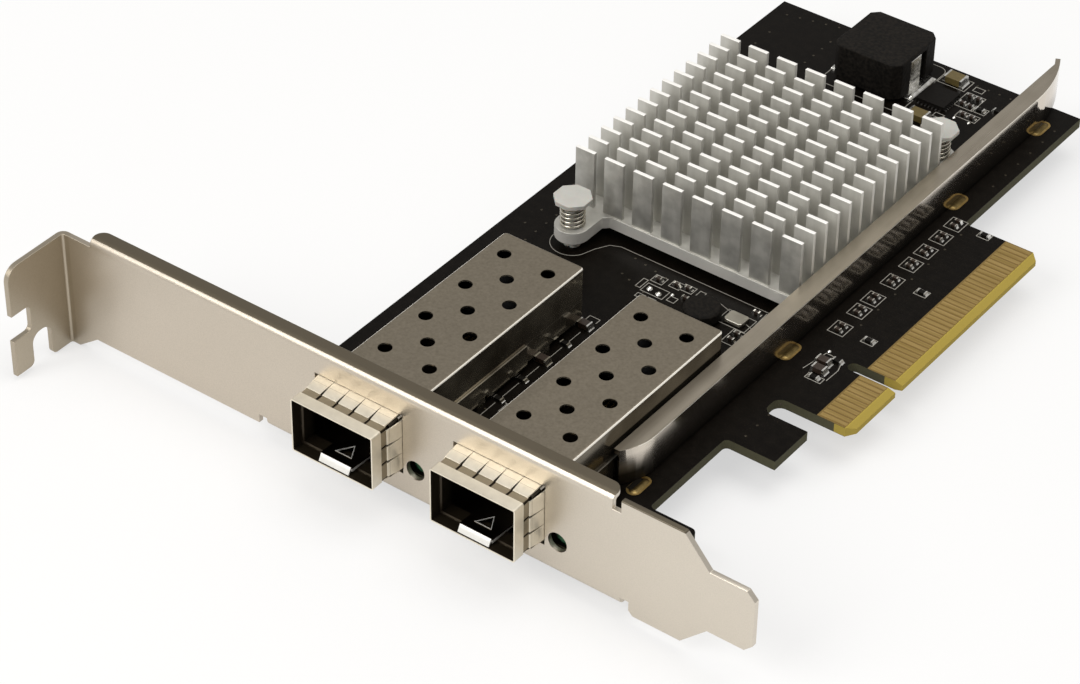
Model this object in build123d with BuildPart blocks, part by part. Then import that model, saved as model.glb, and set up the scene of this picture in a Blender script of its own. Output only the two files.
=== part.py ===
from build123d import *
import os

os.makedirs("parts", exist_ok=True)

# The card lies flat, component side up. X runs down into the slot that the card plugs into, Y from the
# bracket to the rear of the card, Z up from the component side of the board. The origin is the middle of
# the edge connector's key notch, on the connector's bottom edge and the component side. Millimetres.

# Printed board
board_height = 68.6
board_thickness = 1.57
board_front = -55.8
board_rear = 73.95
edge_setback = 13.1
corner_radius = 0.8
foot_setback = 5.1
foot_rear = -42.3
hook_setback = 4.9
hook_front = -24.1
hook_rear = -16.0
relief_depth = 12.4
relief_radius = 1.5
foot_radius = 1.0
cut_over = 1.0

# Edge connector
tongue_front = -12.15
tongue_rear = 39.15
tongue_chamfer = 1.2
bevel_run = 1.2
bevel_rise = 0.35
key_width = 1.9
key_depth = 8.45
key_to_contact = 1.5
contact_pitch = 1.0
contact_width = 0.7
contact_thickness = 0.05
contact_top = 5.6
contact_bottom = 1.3
contacts_before_key = 11
contacts_after_key = 38

# Bracket sheet
sheet = 0.86
bend_inside = 0.4
overlap = 0.1
bracket_length = 120.02
bracket_face = -57.15
bracket_end = 13.66
face_low = -3.95
face_high = 14.25
tab_low = -6.6
tab_high = 12.85
tab_depth = 11.43
tab_wing = 2.4
tab_blend = 3.6
screw_slot_centre = 2.45
screw_slot_width = 4.42
screw_slot_depth = 3.7
arch_near = 4.0
arch_width = 3.8
arch_top = -0.8
lobe_lift = 0.6
tab_corner = 2.4
tab_round = 0.9
tongue_width = 10.19
tongue_low = -0.68
tongue_reach = 7.1
shoulder_run = 4.1
end_chamfer = 1.3
bulge = 0.75
flange_depth = 2.8
flange_start = -100.3
flange_end = -8.9
flange_round = 1.6
relief_notch = 0.7
relief_notch_rise = 1.45
lower_flange_depth = 2.6
lower_flange_start = -68.2
lower_flange_end = -7.3
lug_width = 8.0
lug_length = 8.3
lug_ramp = 2.0
lug_root = 1.0
lug_skew = 0.4
lug_corner = 1.5

# Bracket screws
screw_x = (-63.8, -10.0)
screw_y = -49.6
screw_shank = 2.4
screw_clearance = 0.1
screw_hole_board = 2.8
screw_head = 4.6
screw_head_height = 1.6
screw_head_round = 0.6
screw_recess = 0.8
screw_cross = (2.6, 0.6)
screw_end = 0.6
screw_sides = 12

# Transceiver cages
cage_x = {"left": -51.35, "right": -27.35}
cage_width = 14.2
cage_floor = 0.65
cage_top = 9.75
cage_sheet = 0.25
cage_rear = -14.9
cage_corner = 0.9
cage_fit = 0.04
cage_inset = 0.45
cage_bend = 0.12
vent_hole = 2.0
vent_sides = 12
vent_pitch_x = 7.8
vent_pitch_y = 9.05
vent_first = -46.5
flap_top = 4.3
flap_gap = 0.4
flap_rear = -28.7
floor_rear = -30.0
tail_width = 0.8
tail_reach = 0.8
tail_slot = (0.7, 1.2)
tail_rows = (-49.0, -39.0, -24.0)
shoulder_width = 1.8
shoulder_room = 0.1
latch_width = 5.5
latch_length = 12.0
latch_slit = 0.4
latch_rise = 1.05
latch_lip = 0.25
latch_nose = 0.85
latch_catch = 4.5
latch_side = 3.2

# Shielding collar round each cage mouth
mouth = -63.0
collar_sheet = 0.2
rim_length = 1.1
groove_length = 0.6
groove_depth = 0.15
finger_pitch = 2.8
finger_slit = 0.25
finger_crease = -59.2
finger_crest = -57.0
finger_foot = -54.6
finger_end = -53.6
finger_rise = 0.55
finger_bow = 0.85
finger_reach = 0.12
rim_corner = 0.25

# Host connectors inside the cages
host_front = -27.6
host_depth = 9.2
host_width = 12.6
host_height = 5.9
host_lift = 0.15
host_slot_width = 10.3
host_slot_height = 1.4
host_slot_centre = 3.7
host_slot_depth = 6.0
host_wall = 0.6
lead_pitch = 0.8
lead_width = 0.32
lead_thickness = 0.15
lead_length = 1.2
leads_in_row = 10

# Port lamps
lamp_from_cage = 9.75
lamp_height = 1.65
lamp_hole = 3.1
lamp_diameter = 2.8
lamp_body_width = 3.8
lamp_body_height = 3.5
lamp_body_front = -54.9
lamp_body_depth = 4.4
lamp_proud = 1.0

# Controller, pad and heatsink
sink_x = -40.15
sink_y = 23.58
sink_width = 39.9
sink_length = 39.0
sink_base_top = 3.5
sink_base_thickness = 2.0
sink_top = 13.3
pin_columns = 8
pin_rows = 13
pin_width = 3.4
pin_thickness = 0.65
ear_radius = 2.75
ear_offset_x = 16.75
ear_offset_y = 24.03
chip_side = 25.0
pad_thickness = 0.3

# Push pins that hold the heatsink
push_shank = 2.6
push_hole_sink = 3.0
push_hole_board = 2.9
push_head = 6.0
push_head_sides = 8
push_head_top = 8.5
push_head_thickness = 0.8
push_barb = 3.5
push_barb_length = 1.9
push_slot = 0.6
spring_wire = 0.42
spring_inside = 1.55
spring_turns = 4
spring_corners = 6
spring_gap = 0.05

# Stiffener bar along the connector side
bar_face = -17.0
bar_sheet = 0.8
bar_height = 6.25
bar_low = 0.15
bar_flange = 2.85
bar_start = -35.6
bar_end = 66.5
bar_curl_near = 9.3
bar_curl_near_angle = 38.0
bar_curl_far = 25.4
bar_curl_far_angle = 27.4
bar_tab_rows = (-39.6, -2.6, 43.1, 67.7)
bar_tab_length = 2.8
bar_tab_reach = 0.6
bar_slot_length = 3.4
bar_slot_width = 1.2
bar_pad = 0.5
pad_plate = 0.05

# Power and clock parts
choke_x = -44.1
choke_y = 65.45
choke_side = 12.3
choke_low = 0.5
choke_high = 7.0
choke_corner = 1.2
terminal_sheet = 0.4
terminal_width = 3.0
terminal_room = 4.4
terminal_foot = 7.6
terminal_top = 5.6
inductor_x = -31.3
inductor_y = -3.6
inductor_diameter = 5.7
inductor_height = 2.1
inductor_pad = 1.6

# Crystal, chips and small parts, each place a centre in X and Y
crystal_place = (-26.8, -1.4)
crystal_size = (3.2, 2.5, 0.7)
regulator_place = (-33.6, 64.9)
regulator_size = (5.0, 5.0, 0.8)
memory_gap = 0.55
memory_row = 9.42
memory_size = (3.9, 4.9, 1.5)
memory_lift = 0.15
memory_lead_pitch = 1.27
memory_lead = (0.42, 1.05, 0.2)
memory_lead_knee = (0.15, 0.35, 0.55)
chip_end = 0.25
end_grow = 0.02
coupling_x = -13.95
coupling_rows = (6.3, 11.4, 15.1, 20.4, 25.5, 29.6, 33.9, 38.1)
coupling_spacing = 1.3
small_capacitor = (1.0, 0.5, 0.5)
small_capacitor_places = (
    (-29.9, 66.2), (-28.4, 66.2), (-29.9, 68.6), (-28.4, 68.6), (-28.2, 63.6), (-26.6, 63.6), (-25.4, 1.8),
    (-24.9, -4.0), (-24.9, -5.6), (-36.6, 0.6), (-38.4, 0.3), (-41.3, -0.2), (-35.6, -1.6), (-36.6, -6.5),
)
medium_capacitor = (2.0, 1.25, 0.9)
medium_capacitor_places = ((-11.0, -3.8), (-11.5, -1.9), (-43.4, -15.8), (-43.4, -25.9))
large_capacitor = (3.2, 2.2, 1.2)
large_capacitor_places = ((-34.0, 70.8), (-33.4, 58.6))
resistor = (1.4, 0.75, 0.4)
resistor_places = (
    (-9.05, 6.3), (-9.05, 20.6), (-9.05, 38.3), (-10.8, -5.5), (-10.1, -0.4), (-24.3, 67.6), (-26.7, 66.2),
    (-43.2, -36.5), (-43.2, -31.0), (-43.2, -20.8), (-39.0, -6.4),
)
under_columns = (-7.2, -3.6, 3.6, 7.2)
under_rows = (-7.6, -3.6, 3.6, 7.6)
under_large = ((0, 13.0), (0, -13.0), (-4.0, 32.4), (6.6, 29.0))

# The board: its outline has the bracket foot, the main lower edge, the retention hook, the relief slot
# and the connector tongue, with a plated slot for each tab of the stiffener bar.
push_points = (
    (sink_x - ear_offset_x, sink_y - ear_offset_y),
    (sink_x + ear_offset_x, sink_y + ear_offset_y),
)
tail_x = cage_width / 2 - cage_sheet / 2
tail_points = [(x + side * tail_x, y) for x in cage_x.values() for side in (-1, 1) for y in tail_rows]
bar_slot_points = [(bar_face - bar_sheet / 2, y) for y in bar_tab_rows]
screw_points = [(x, screw_y) for x in screw_x]

with BuildPart() as board:
    with BuildSketch(Plane.XY.offset(-board_thickness)) as outline:
        with BuildLine():
            Polyline(
                (-board_height, board_front),
                (-foot_setback, board_front),
                (-foot_setback, foot_rear),
                (-edge_setback, foot_rear),
                (-edge_setback, hook_front),
                (-hook_setback, hook_front),
                (-hook_setback, hook_rear),
                (-relief_depth, hook_rear),
                (-relief_depth, tongue_front),
                (0, tongue_front),
                (0, tongue_rear),
                (-edge_setback, tongue_rear),
                (-edge_setback, board_rear),
                (-board_height, board_rear),
                close=True,
            )
        make_face()
        chamfer(outline.vertices().group_by(Axis.X)[-1], length=tongue_chamfer)
        inner = outline.vertices().filter_by_position(Axis.X, -relief_depth - 0.01, -relief_depth + 0.01)
        fillet(inner, radius=relief_radius)
        setback = outline.vertices().filter_by_position(Axis.X, -edge_setback - 0.01, -edge_setback + 0.01)
        fillet(setback.sort_by(Axis.Y)[:3], radius=corner_radius)
        foot = outline.vertices().filter_by_position(Axis.X, -foot_setback - 0.01, -foot_setback + 0.01)
        fillet(foot, radius=foot_radius)
        with Locations((-(key_depth - key_width / 2) / 2, 0)):
            Rectangle(key_depth - key_width / 2, key_width, mode=Mode.SUBTRACT)
        with Locations((-(key_depth - key_width / 2), 0)):
            Circle(key_width / 2, mode=Mode.SUBTRACT)
        with Locations(*bar_slot_points):
            Rectangle(bar_slot_width, bar_slot_length, mode=Mode.SUBTRACT)
        with Locations(*tail_points):
            Rectangle(*tail_slot, mode=Mode.SUBTRACT)
        with Locations(*push_points):
            Circle(push_hole_board / 2, mode=Mode.SUBTRACT)
        with Locations(*screw_points):
            RegularPolygon(screw_hole_board / 2, screw_sides, mode=Mode.SUBTRACT)
    extrude(amount=board_thickness)
    bevel_end = bevel_rise * (1 + cut_over / bevel_run)
    with BuildSketch(Plane.XZ.offset(-tongue_rear - cut_over)):
        with BuildLine():
            Polyline((-bevel_run, 0), (cut_over, 0), (cut_over, -bevel_end), close=True)
        make_face()
        with BuildLine():
            Polyline(
                (-bevel_run, -board_thickness),
                (cut_over, -board_thickness),
                (cut_over, -board_thickness + bevel_end),
                close=True,
            )
        make_face()
    extrude(amount=tongue_rear - tongue_front + 2 * cut_over, mode=Mode.SUBTRACT)
board.part.label = "board"
export_step(board.part, "parts/board.step")

# The gold contacts of the edge connector, one plated strip for each, on both sides of the board.
contact_rows = [-key_to_contact - contact_pitch * i for i in range(contacts_before_key)]
contact_rows += [key_to_contact + contact_pitch * i for i in range(contacts_after_key)]
contact_x = -(contact_top + contact_bottom) / 2
contact_levels = {"component_side_contacts": 0, "solder_side_contacts": -board_thickness - contact_thickness}
for name, level in contact_levels.items():
    with BuildPart() as contacts:
        with BuildSketch(Plane.XY.offset(level)):
            with Locations(*[(contact_x, y) for y in contact_rows]):
                Rectangle(contact_top - contact_bottom, contact_width)
        extrude(amount=contact_thickness)
    contacts.part.label = name
    export_step(contacts.part, f"parts/{name}.step")

# The bracket, one bent sheet: a slotted screw tab, the face with two cage openings and two lamp holes, a
# tongue that drops into the chassis, a stiffening flange on the component side, and on the solder side a
# flange with two joggled lugs that the board is screwed to.
bracket_inside = bracket_face + sheet
tab_outside = bracket_end - bracket_length
tab_edge = bracket_face - tab_depth
opening_width = cage_width + 2 * (finger_bow + finger_reach)
opening_height = cage_top - cage_floor + 2 * (finger_bow + finger_reach)
mouth_centre = (cage_top + cage_floor) / 2
tongue_high = tongue_low + tongue_width
tongue_start = bracket_end - tongue_reach
shoulder_start = tongue_start - shoulder_run
wing_end = tab_outside + tab_wing
blend_end = wing_end + tab_blend
bend_outside = bend_inside + sheet

with BuildPart() as bracket:
    with BuildSketch(Plane.XZ.offset(-bracket_face)):
        with BuildLine():
            Polyline(
                (tab_outside + bend_outside, tab_low),
                (wing_end, tab_low),
                (blend_end, face_low),
                (lower_flange_end + 2 * relief_notch, face_low),
                (lower_flange_end + 3 * relief_notch, face_low - bulge),
                (shoulder_start, face_low - bulge),
                (tongue_start, tongue_low),
                (bracket_end - end_chamfer, tongue_low),
                (bracket_end, tongue_low + end_chamfer),
                (bracket_end, tongue_high - end_chamfer),
                (bracket_end - end_chamfer, tongue_high),
                (tongue_start, tongue_high),
                (shoulder_start, face_high),
                (flange_end + 2 * relief_notch, face_high),
                (flange_end + 2 * relief_notch, tab_high - relief_notch),
                (flange_end, tab_high - relief_notch),
                (flange_end, tab_high),
                (tab_outside + bend_outside, tab_high),
                close=True,
            )
        make_face()
        with Locations(*[(x, mouth_centre) for x in cage_x.values()]):
            Rectangle(opening_width, opening_height, mode=Mode.SUBTRACT)
        with Locations(*[(x + lamp_from_cage, lamp_height) for x in cage_x.values()]):
            Circle(lamp_hole / 2, mode=Mode.SUBTRACT)
        with Locations(((lower_flange_start + lower_flange_end) / 2, face_low)):
            Rectangle(lower_flange_end - lower_flange_start, 2 * bend_outside, mode=Mode.SUBTRACT)
        for x in (lower_flange_start - relief_notch, lower_flange_end + relief_notch):
            with Locations((x, face_low)):
                Rectangle(2 * relief_notch, 2 * relief_notch_rise, mode=Mode.SUBTRACT)
    extrude(amount=-sheet)

    with BuildSketch(Plane.YZ.offset(flange_start)) as fold:
        with BuildLine():
            Polyline(
                (bracket_face, tab_high),
                (bracket_face, face_high),
                (bracket_face + flange_depth, face_high),
                (bracket_face + flange_depth, face_high - sheet),
                (bracket_inside, face_high - sheet),
                (bracket_inside, tab_high),
                close=True,
            )
        make_face()
        fillet(fold.vertices().group_by(Axis.Y)[-1].sort_by(Axis.X)[0], radius=bend_outside)
        inner = fold.vertices().filter_by_position(Axis.X, bracket_inside - 0.01, bracket_inside + 0.01)
        fillet(inner.sort_by(Axis.Y)[-1], radius=bend_inside)
    extrude(amount=flange_end - flange_start)
    ends = bracket.edges().filter_by(Axis.Z).group_by(Axis.Y)[-1]
    fillet(ends, radius=flange_round)

    with BuildSketch(Plane.YZ.offset(lower_flange_start)) as fold:
        with BuildLine():
            Polyline(
                (bracket_face, face_low + bend_outside + overlap),
                (bracket_face, face_low),
                (bracket_face + lower_flange_depth, face_low),
                (bracket_face + lower_flange_depth, face_low + sheet),
                (bracket_inside, face_low + sheet),
                (bracket_inside, face_low + bend_outside + overlap),
                close=True,
            )
        make_face()
        fillet(fold.vertices().group_by(Axis.Y)[0].sort_by(Axis.X)[0], radius=bend_outside)
        inner = fold.vertices().filter_by_position(Axis.X, bracket_inside - 0.01, bracket_inside + 0.01)
        fillet(inner.sort_by(Axis.Y)[0], radius=bend_inside)
    extrude(amount=lower_flange_end - lower_flange_start)

    fold_start = bracket_inside - bend_outside
    with BuildSketch(Plane.XY.offset(tab_low)) as fold:
        with BuildLine():
            Polyline(
                (tab_outside + bend_outside + overlap, bracket_inside),
                (tab_outside, bracket_inside),
                (tab_outside, fold_start - overlap),
                (tab_outside + sheet, fold_start - overlap),
                (tab_outside + sheet, bracket_face),
                (tab_outside + bend_outside + overlap, bracket_face),
                close=True,
            )
        make_face()
        fillet(fold.vertices().group_by(Axis.X)[0].sort_by(Axis.Y)[-1], radius=bend_outside)
        tab_inside = tab_outside + sheet
        inner = fold.vertices().filter_by_position(Axis.X, tab_inside - 0.01, tab_inside + 0.01)
        fillet(inner.sort_by(Axis.Y)[-1], radius=bend_inside)
    extrude(amount=tab_high - tab_low)

    with BuildSketch(Plane.YZ.offset(tab_outside)) as tab:
        with BuildLine():
            Polyline(
                (fold_start, tab_low),
                (bracket_face - arch_near, tab_low),
                (bracket_face - arch_near, arch_top),
                (bracket_face - arch_near - arch_width, arch_top),
                (bracket_face - arch_near - arch_width, tab_low + lobe_lift),
                (tab_edge, tab_low + lobe_lift),
                (tab_edge, screw_slot_centre - screw_slot_width / 2),
                (tab_edge + screw_slot_depth, screw_slot_centre - screw_slot_width / 2),
                (tab_edge + screw_slot_depth, screw_slot_centre + screw_slot_width / 2),
                (tab_edge, screw_slot_centre + screw_slot_width / 2),
                (tab_edge, tab_high),
                (fold_start, tab_high),
                close=True,
            )
        make_face()
        outer = tab.vertices().group_by(Axis.X)[0].sort_by(Axis.Y)
        fillet(outer[-1], radius=tab_corner)
        fillet(outer[:2], radius=tab_round)
        arch = tab.vertices().filter_by_position(Axis.Y, arch_top - 0.01, arch_top + 0.01)
        fillet(arch, radius=arch_width / 2 - 0.2)
        slot_depth = tab_edge + screw_slot_depth
        slot_end = tab.vertices().filter_by_position(Axis.X, slot_depth - 0.01, slot_depth + 0.01)
        fillet(slot_end, radius=tab_round)
        feet = tab.vertices().filter_by_position(Axis.Y, tab_low - 0.01, tab_low + lobe_lift + 0.01)
        fillet(feet.sort_by(Axis.X)[-3:-1], radius=tab_round)
    extrude(amount=sheet)

    ramp_start = bracket_face + lower_flange_depth
    lug_top = -board_thickness
    lug_end = ramp_start + lug_length
    for x in screw_x:
        with BuildSketch(Plane.YZ.offset(x - lug_width / 2)):
            with BuildLine():
                Polyline(
                    (ramp_start - lug_root, face_low),
                    (ramp_start, face_low),
                    (ramp_start + lug_ramp, lug_top - sheet),
                    (lug_end, lug_top - sheet),
                    (lug_end, lug_top),
                    (ramp_start + lug_ramp - lug_skew, lug_top),
                    (ramp_start - lug_skew, face_low + sheet),
                    (ramp_start - lug_root, face_low + sheet),
                    close=True,
                )
            make_face()
        extrude(amount=lug_width)
    with BuildSketch(Plane.XY.offset(lug_top)):
        with Locations(*screw_points):
            RegularPolygon((screw_shank + screw_clearance) / 2, screw_sides)
    extrude(amount=-sheet, mode=Mode.SUBTRACT)
    corners = bracket.edges().filter_by(Axis.Z).filter_by_position(Axis.Y, lug_end - 0.01, lug_end + 0.01)
    fillet(corners, radius=lug_corner)
bracket.part.label = "bracket"
export_step(bracket.part, "parts/bracket.step")

# Two pan-head screws hold the board down on the bracket's lugs. Their threads are left plain.
with BuildPart() as bracket_screws:
    with BuildSketch(Plane.XY):
        with Locations(*screw_points):
            RegularPolygon(screw_head / 2, 2 * screw_sides)
    extrude(amount=screw_head_height)
    chamfer(bracket_screws.edges().group_by(Axis.Z)[-1], length=screw_head_round)
    with BuildSketch(Plane.XY):
        with Locations(*screw_points):
            RegularPolygon(screw_shank / 2, screw_sides)
    extrude(amount=-(board_thickness + sheet + screw_end))
    with BuildSketch(Plane.XY.offset(screw_head_height)):
        with Locations(*screw_points):
            Rectangle(*screw_cross)
            Rectangle(*screw_cross, rotation=90)
    extrude(amount=-screw_recess, mode=Mode.SUBTRACT)
bracket_screws.part.label = "bracket_screws"
export_step(bracket_screws.part, "parts/bracket_screws.step")

for side, centre in cage_x.items():
    half = cage_width / 2
    groove_end = mouth + rim_length + groove_length
    cage_front = groove_end + cage_inset

    # The upper shell of the cage: top with its vent holes, two sides and the rear wall, folded from one
    # sheet. Its tails are soldered into the board, and shoulders beside them set its height.
    wall_low = cage_floor + cage_sheet + cage_fit
    wall_mid = (cage_top + wall_low) / 2
    with BuildPart() as cover:
        with BuildSketch(Plane.XZ.offset(-cage_front)) as section:
            with Locations((centre, wall_mid)):
                Rectangle(cage_width, cage_top - wall_low)
            chamfer(section.vertices().group_by(Axis.Y)[-1], length=cage_bend)
            with Locations((centre, wall_mid - cage_sheet)):
                Rectangle(cage_width - 2 * cage_sheet, cage_top - wall_low, mode=Mode.SUBTRACT)
        extrude(amount=cage_front - cage_rear)
        with BuildSketch(Plane.XY.offset(cage_top)):
            with Locations(*[(centre + edge * half, cage_rear) for edge in (-1, 1)]):
                Rectangle(2**0.5 * cage_corner, 2**0.5 * cage_corner, rotation=45)
            with Locations((centre, vent_first + 1.5 * vent_pitch_y)):
                with GridLocations(vent_pitch_x, vent_pitch_y, 2, 4):
                    RegularPolygon(vent_hole / 2, vent_sides)
                with GridLocations(1, vent_pitch_y, 1, 3):
                    RegularPolygon(vent_hole / 2, vent_sides)
        extrude(amount=-(cage_top - wall_low), mode=Mode.SUBTRACT)
        with BuildSketch(Plane.XY.offset(wall_low)):
            with Locations((centre, cage_rear - cage_sheet / 2)):
                Rectangle(cage_width - 2 * cage_corner - 2 * cage_sheet, cage_sheet)
        extrude(amount=cage_top - cage_sheet / 2 - wall_low)
        with BuildSketch(Plane.XY):
            with Locations((centre, 0)):
                with Locations(*[(x, y) for x in (-tail_x, tail_x) for y in tail_rows]):
                    Rectangle(cage_sheet, shoulder_width)
        extrude(amount=wall_low + 0.2)
        with BuildSketch(Plane.XY):
            with Locations((centre, 0)):
                with Locations(*[(x, y) for x in (-tail_x, tail_x) for y in tail_rows]):
                    Rectangle(cage_sheet, tail_width)
        extrude(amount=-(board_thickness + tail_reach))
    cover.part.label = f"{side}_cage_cover"
    export_step(cover.part, f"parts/{side}_cage_cover.step")

    # The lower shell: a floor with flaps that clasp the cover's sides from outside, notched where the
    # cover's shoulders pass, and a latch tongue cut free at the mouth with its triangular catch.
    flap_out = half + cage_fit + cage_sheet
    flap_front = finger_end + flap_gap
    with BuildPart() as base:
        with BuildSketch(Plane.XY.offset(cage_floor)):
            with Locations((centre, (cage_front + floor_rear) / 2)):
                Rectangle(cage_width, floor_rear - cage_front)
            with Locations((centre, (flap_front + flap_rear) / 2)):
                Rectangle(2 * flap_out, flap_rear - flap_front)
            with Locations((centre, cage_front + latch_length / 2)):
                Rectangle(latch_width + 2 * latch_slit, latch_length, mode=Mode.SUBTRACT)
        extrude(amount=cage_sheet)
        with BuildSketch(Plane.XY.offset(cage_floor)):
            with Locations((centre, (flap_front + flap_rear) / 2)):
                with GridLocations(2 * (flap_out - cage_sheet / 2), 1, 2, 1):
                    Rectangle(cage_sheet, flap_rear - flap_front)
        extrude(amount=flap_top - cage_floor)
        with BuildSketch(Plane.XY.offset(cage_floor)):
            with Locations((centre, 0)):
                with Locations(*[(x, y) for x in (-half, half) for y in tail_rows]):
                    Rectangle(4 * cage_sheet, shoulder_width + 2 * shoulder_room)
        extrude(amount=3 * cage_sheet, mode=Mode.SUBTRACT)
        hinge = cage_front + latch_length
        nose = mouth + latch_nose
        with BuildSketch(Plane.YZ.offset(centre - latch_width / 2)):
            with BuildLine():
                Polyline(
                    (hinge + latch_slit, cage_floor),
                    (hinge + latch_slit, cage_floor + cage_sheet),
                    (hinge, cage_floor + cage_sheet),
                    (nose, cage_floor + cage_sheet + latch_rise),
                    (mouth + collar_sheet, cage_floor + cage_sheet + latch_lip),
                    (mouth + collar_sheet, cage_floor + latch_lip),
                    (nose, cage_floor + latch_rise),
                    (hinge, cage_floor),
                    close=True,
                )
            make_face()
        extrude(amount=latch_width)
        with BuildSketch(Plane.XY.offset(cage_floor)):
            with Locations((centre, cage_front + latch_catch)):
                Triangle(a=latch_side, b=latch_side, c=latch_side, rotation=180, mode=Mode.ADD)
        extrude(amount=cage_sheet + latch_rise, mode=Mode.SUBTRACT)
    base.part.label = f"{side}_cage_base"
    export_step(base.part, f"parts/{side}_cage_base.step")

    # The shielding collar, one thin stamping: a rounded rim round the mouth, a groove behind it, and
    # spring fingers on all four sides that bow out to touch the bracket's opening.
    with BuildPart() as collar:
        rims = ((mouth, rim_length, 0), (mouth + rim_length, groove_length, groove_depth))
        for start, length, inset in rims:
            with BuildSketch(Plane.XZ.offset(-start)) as rim:
                with Locations((centre, mouth_centre)):
                    Rectangle(cage_width - 2 * inset, cage_top - cage_floor - 2 * inset)
                    chamfer(rim.vertices(), length=rim_corner)
                    shrink = 2 * (inset + collar_sheet)
                    Rectangle(cage_width - shrink, cage_top - cage_floor - shrink, mode=Mode.SUBTRACT)
            extrude(amount=-length)
        finger_width = finger_pitch - finger_slit
        five = [finger_pitch * i for i in (-2, -1, 0, 1, 2)]
        three = [finger_pitch * i for i in (-1, 0, 1)]
        sides = (
            (Vector(0, 0, 1), (cage_top - cage_floor) / 2, five),
            (Vector(0, 0, -1), (cage_top - cage_floor) / 2, five),
            (Vector(1, 0, 0), half, three),
            (Vector(-1, 0, 0), half, three),
        )
        for outward, reach, offsets in sides:
            across = Vector(0, 1, 0).cross(outward)
            seat = reach + cage_fit
            for offset in offsets:
                origin = Vector(centre, 0, mouth_centre) + across * offset
                with BuildSketch(Plane(origin=origin, x_dir=(0, 1, 0), z_dir=across)):
                    with BuildLine():
                        Polyline(
                            (groove_end - 0.3, reach - groove_depth),
                            (groove_end + 0.3, seat + collar_sheet),
                            (finger_crease, reach + finger_rise),
                            (finger_crest, reach + finger_bow),
                            (finger_foot, seat + collar_sheet),
                            (finger_end, seat + collar_sheet),
                            (finger_end, seat),
                            (finger_foot, seat),
                            (finger_crest, reach + finger_bow - collar_sheet),
                            (finger_crease, reach + finger_rise - collar_sheet),
                            (groove_end + 0.4, seat),
                            (groove_end - 0.3, reach - groove_depth - collar_sheet),
                            close=True,
                        )
                    make_face()
                extrude(amount=finger_width / 2, both=True)
    collar.part.label = f"{side}_shield_collar"
    export_step(collar.part, f"parts/{side}_shield_collar.step")

    # The host connector at the back of the cage, a moulded block with the slot that takes a module's
    # card edge, and its two rows of leads soldered to the board.
    with BuildPart() as host:
        with BuildSketch(Plane.XY.offset(host_lift)):
            with Locations((centre, host_front + host_depth / 2)):
                Rectangle(host_width, host_depth)
        extrude(amount=host_height - host_lift)
        with Locations((centre, host_front + host_slot_depth / 2, host_slot_centre)):
            Box(host_slot_width, host_slot_depth, host_slot_height, mode=Mode.SUBTRACT)
        chamfer(host.edges().filter_by(Axis.X).group_by(Axis.Z)[-1].sort_by(Axis.Y)[0], length=0.6)
    host.part.label = f"{side}_host_connector"
    export_step(host.part, f"parts/{side}_host_connector.step")

    with BuildPart() as leads:
        for edge, out in ((host_front, -1), (host_front + host_depth, 1)):
            with BuildSketch(Plane.XY):
                with Locations((centre + out * lead_pitch / 4, edge + out * lead_length / 2)):
                    with GridLocations(lead_pitch, 1, leads_in_row, 1):
                        Rectangle(lead_width, lead_length)
            extrude(amount=lead_thickness)
    leads.part.label = f"{side}_host_leads"
    export_step(leads.part, f"parts/{side}_host_leads.step")

    # The port lamp, a right-angle holder on the board with a lens that looks out of the bracket.
    lamp_x = centre + lamp_from_cage
    with BuildPart() as holder:
        with BuildSketch(Plane.XY):
            with Locations((lamp_x, lamp_body_front + lamp_body_depth / 2)):
                Rectangle(lamp_body_width, lamp_body_depth)
        extrude(amount=lamp_body_height)
        chamfer(holder.edges().filter_by(Axis.X).group_by(Axis.Z)[-1].sort_by(Axis.Y)[-1], length=1.2)
    holder.part.label = f"{side}_lamp_holder"
    export_step(holder.part, f"parts/{side}_lamp_holder.step")

    with BuildPart() as lens:
        with BuildSketch(Plane.XZ.offset(-lamp_body_front)):
            with Locations((lamp_x, lamp_height)):
                RegularPolygon(lamp_diameter / 2, vent_sides)
        extrude(amount=lamp_proud)
        chamfer(lens.edges().group_by(Axis.Y)[0], length=0.4)
    lens.part.label = f"{side}_lamp_lens"
    export_step(lens.part, f"parts/{side}_lamp_lens.step")

# The heatsink, extruded and then cross-cut into a field of flat pins, with an ear at two opposite
# corners for the push pins.
sink_base_low = sink_base_top - sink_base_thickness
pin_pitch_x = (sink_width - pin_width) / (pin_columns - 1)
pin_pitch_y = (sink_length - pin_thickness) / (pin_rows - 1)
with BuildPart() as heatsink:
    with BuildSketch(Plane.XY.offset(sink_base_low)):
        with Locations((sink_x, sink_y)):
            Rectangle(sink_width, sink_length)
        for ear in (-1, 1):
            with Locations((sink_x + ear * ear_offset_x, sink_y + ear * ear_offset_y)):
                Circle(ear_radius)
            with Locations((sink_x + ear * ear_offset_x, sink_y + ear * ear_offset_y / 2)):
                Rectangle(2 * ear_radius, ear_offset_y)
        with Locations(*push_points):
            Circle(push_hole_sink / 2, mode=Mode.SUBTRACT)
    extrude(amount=sink_base_thickness)
    with BuildSketch(Plane.XY.offset(sink_base_top)):
        with Locations((sink_x, sink_y)):
            with GridLocations(pin_pitch_x, pin_pitch_y, pin_columns, pin_rows):
                Rectangle(pin_width, pin_thickness)
    extrude(amount=sink_top - sink_base_top)
heatsink.part.label = "heatsink"
export_step(heatsink.part, "parts/heatsink.step")

# The network controller under the heatsink, with a soft pad between them.
with BuildPart() as controller_chip:
    with BuildSketch(Plane.XY):
        with Locations((sink_x, sink_y)):
            Rectangle(chip_side, chip_side)
    extrude(amount=sink_base_low - pad_thickness)
controller_chip.part.label = "controller_chip"
export_step(controller_chip.part, "parts/controller_chip.step")

with BuildPart() as thermal_pad:
    with BuildSketch(Plane.XY.offset(sink_base_low - pad_thickness)):
        with Locations((sink_x, sink_y)):
            Rectangle(chip_side, chip_side)
    extrude(amount=pad_thickness)
thermal_pad.part.label = "thermal_pad"
export_step(thermal_pad.part, "parts/thermal_pad.step")

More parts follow.
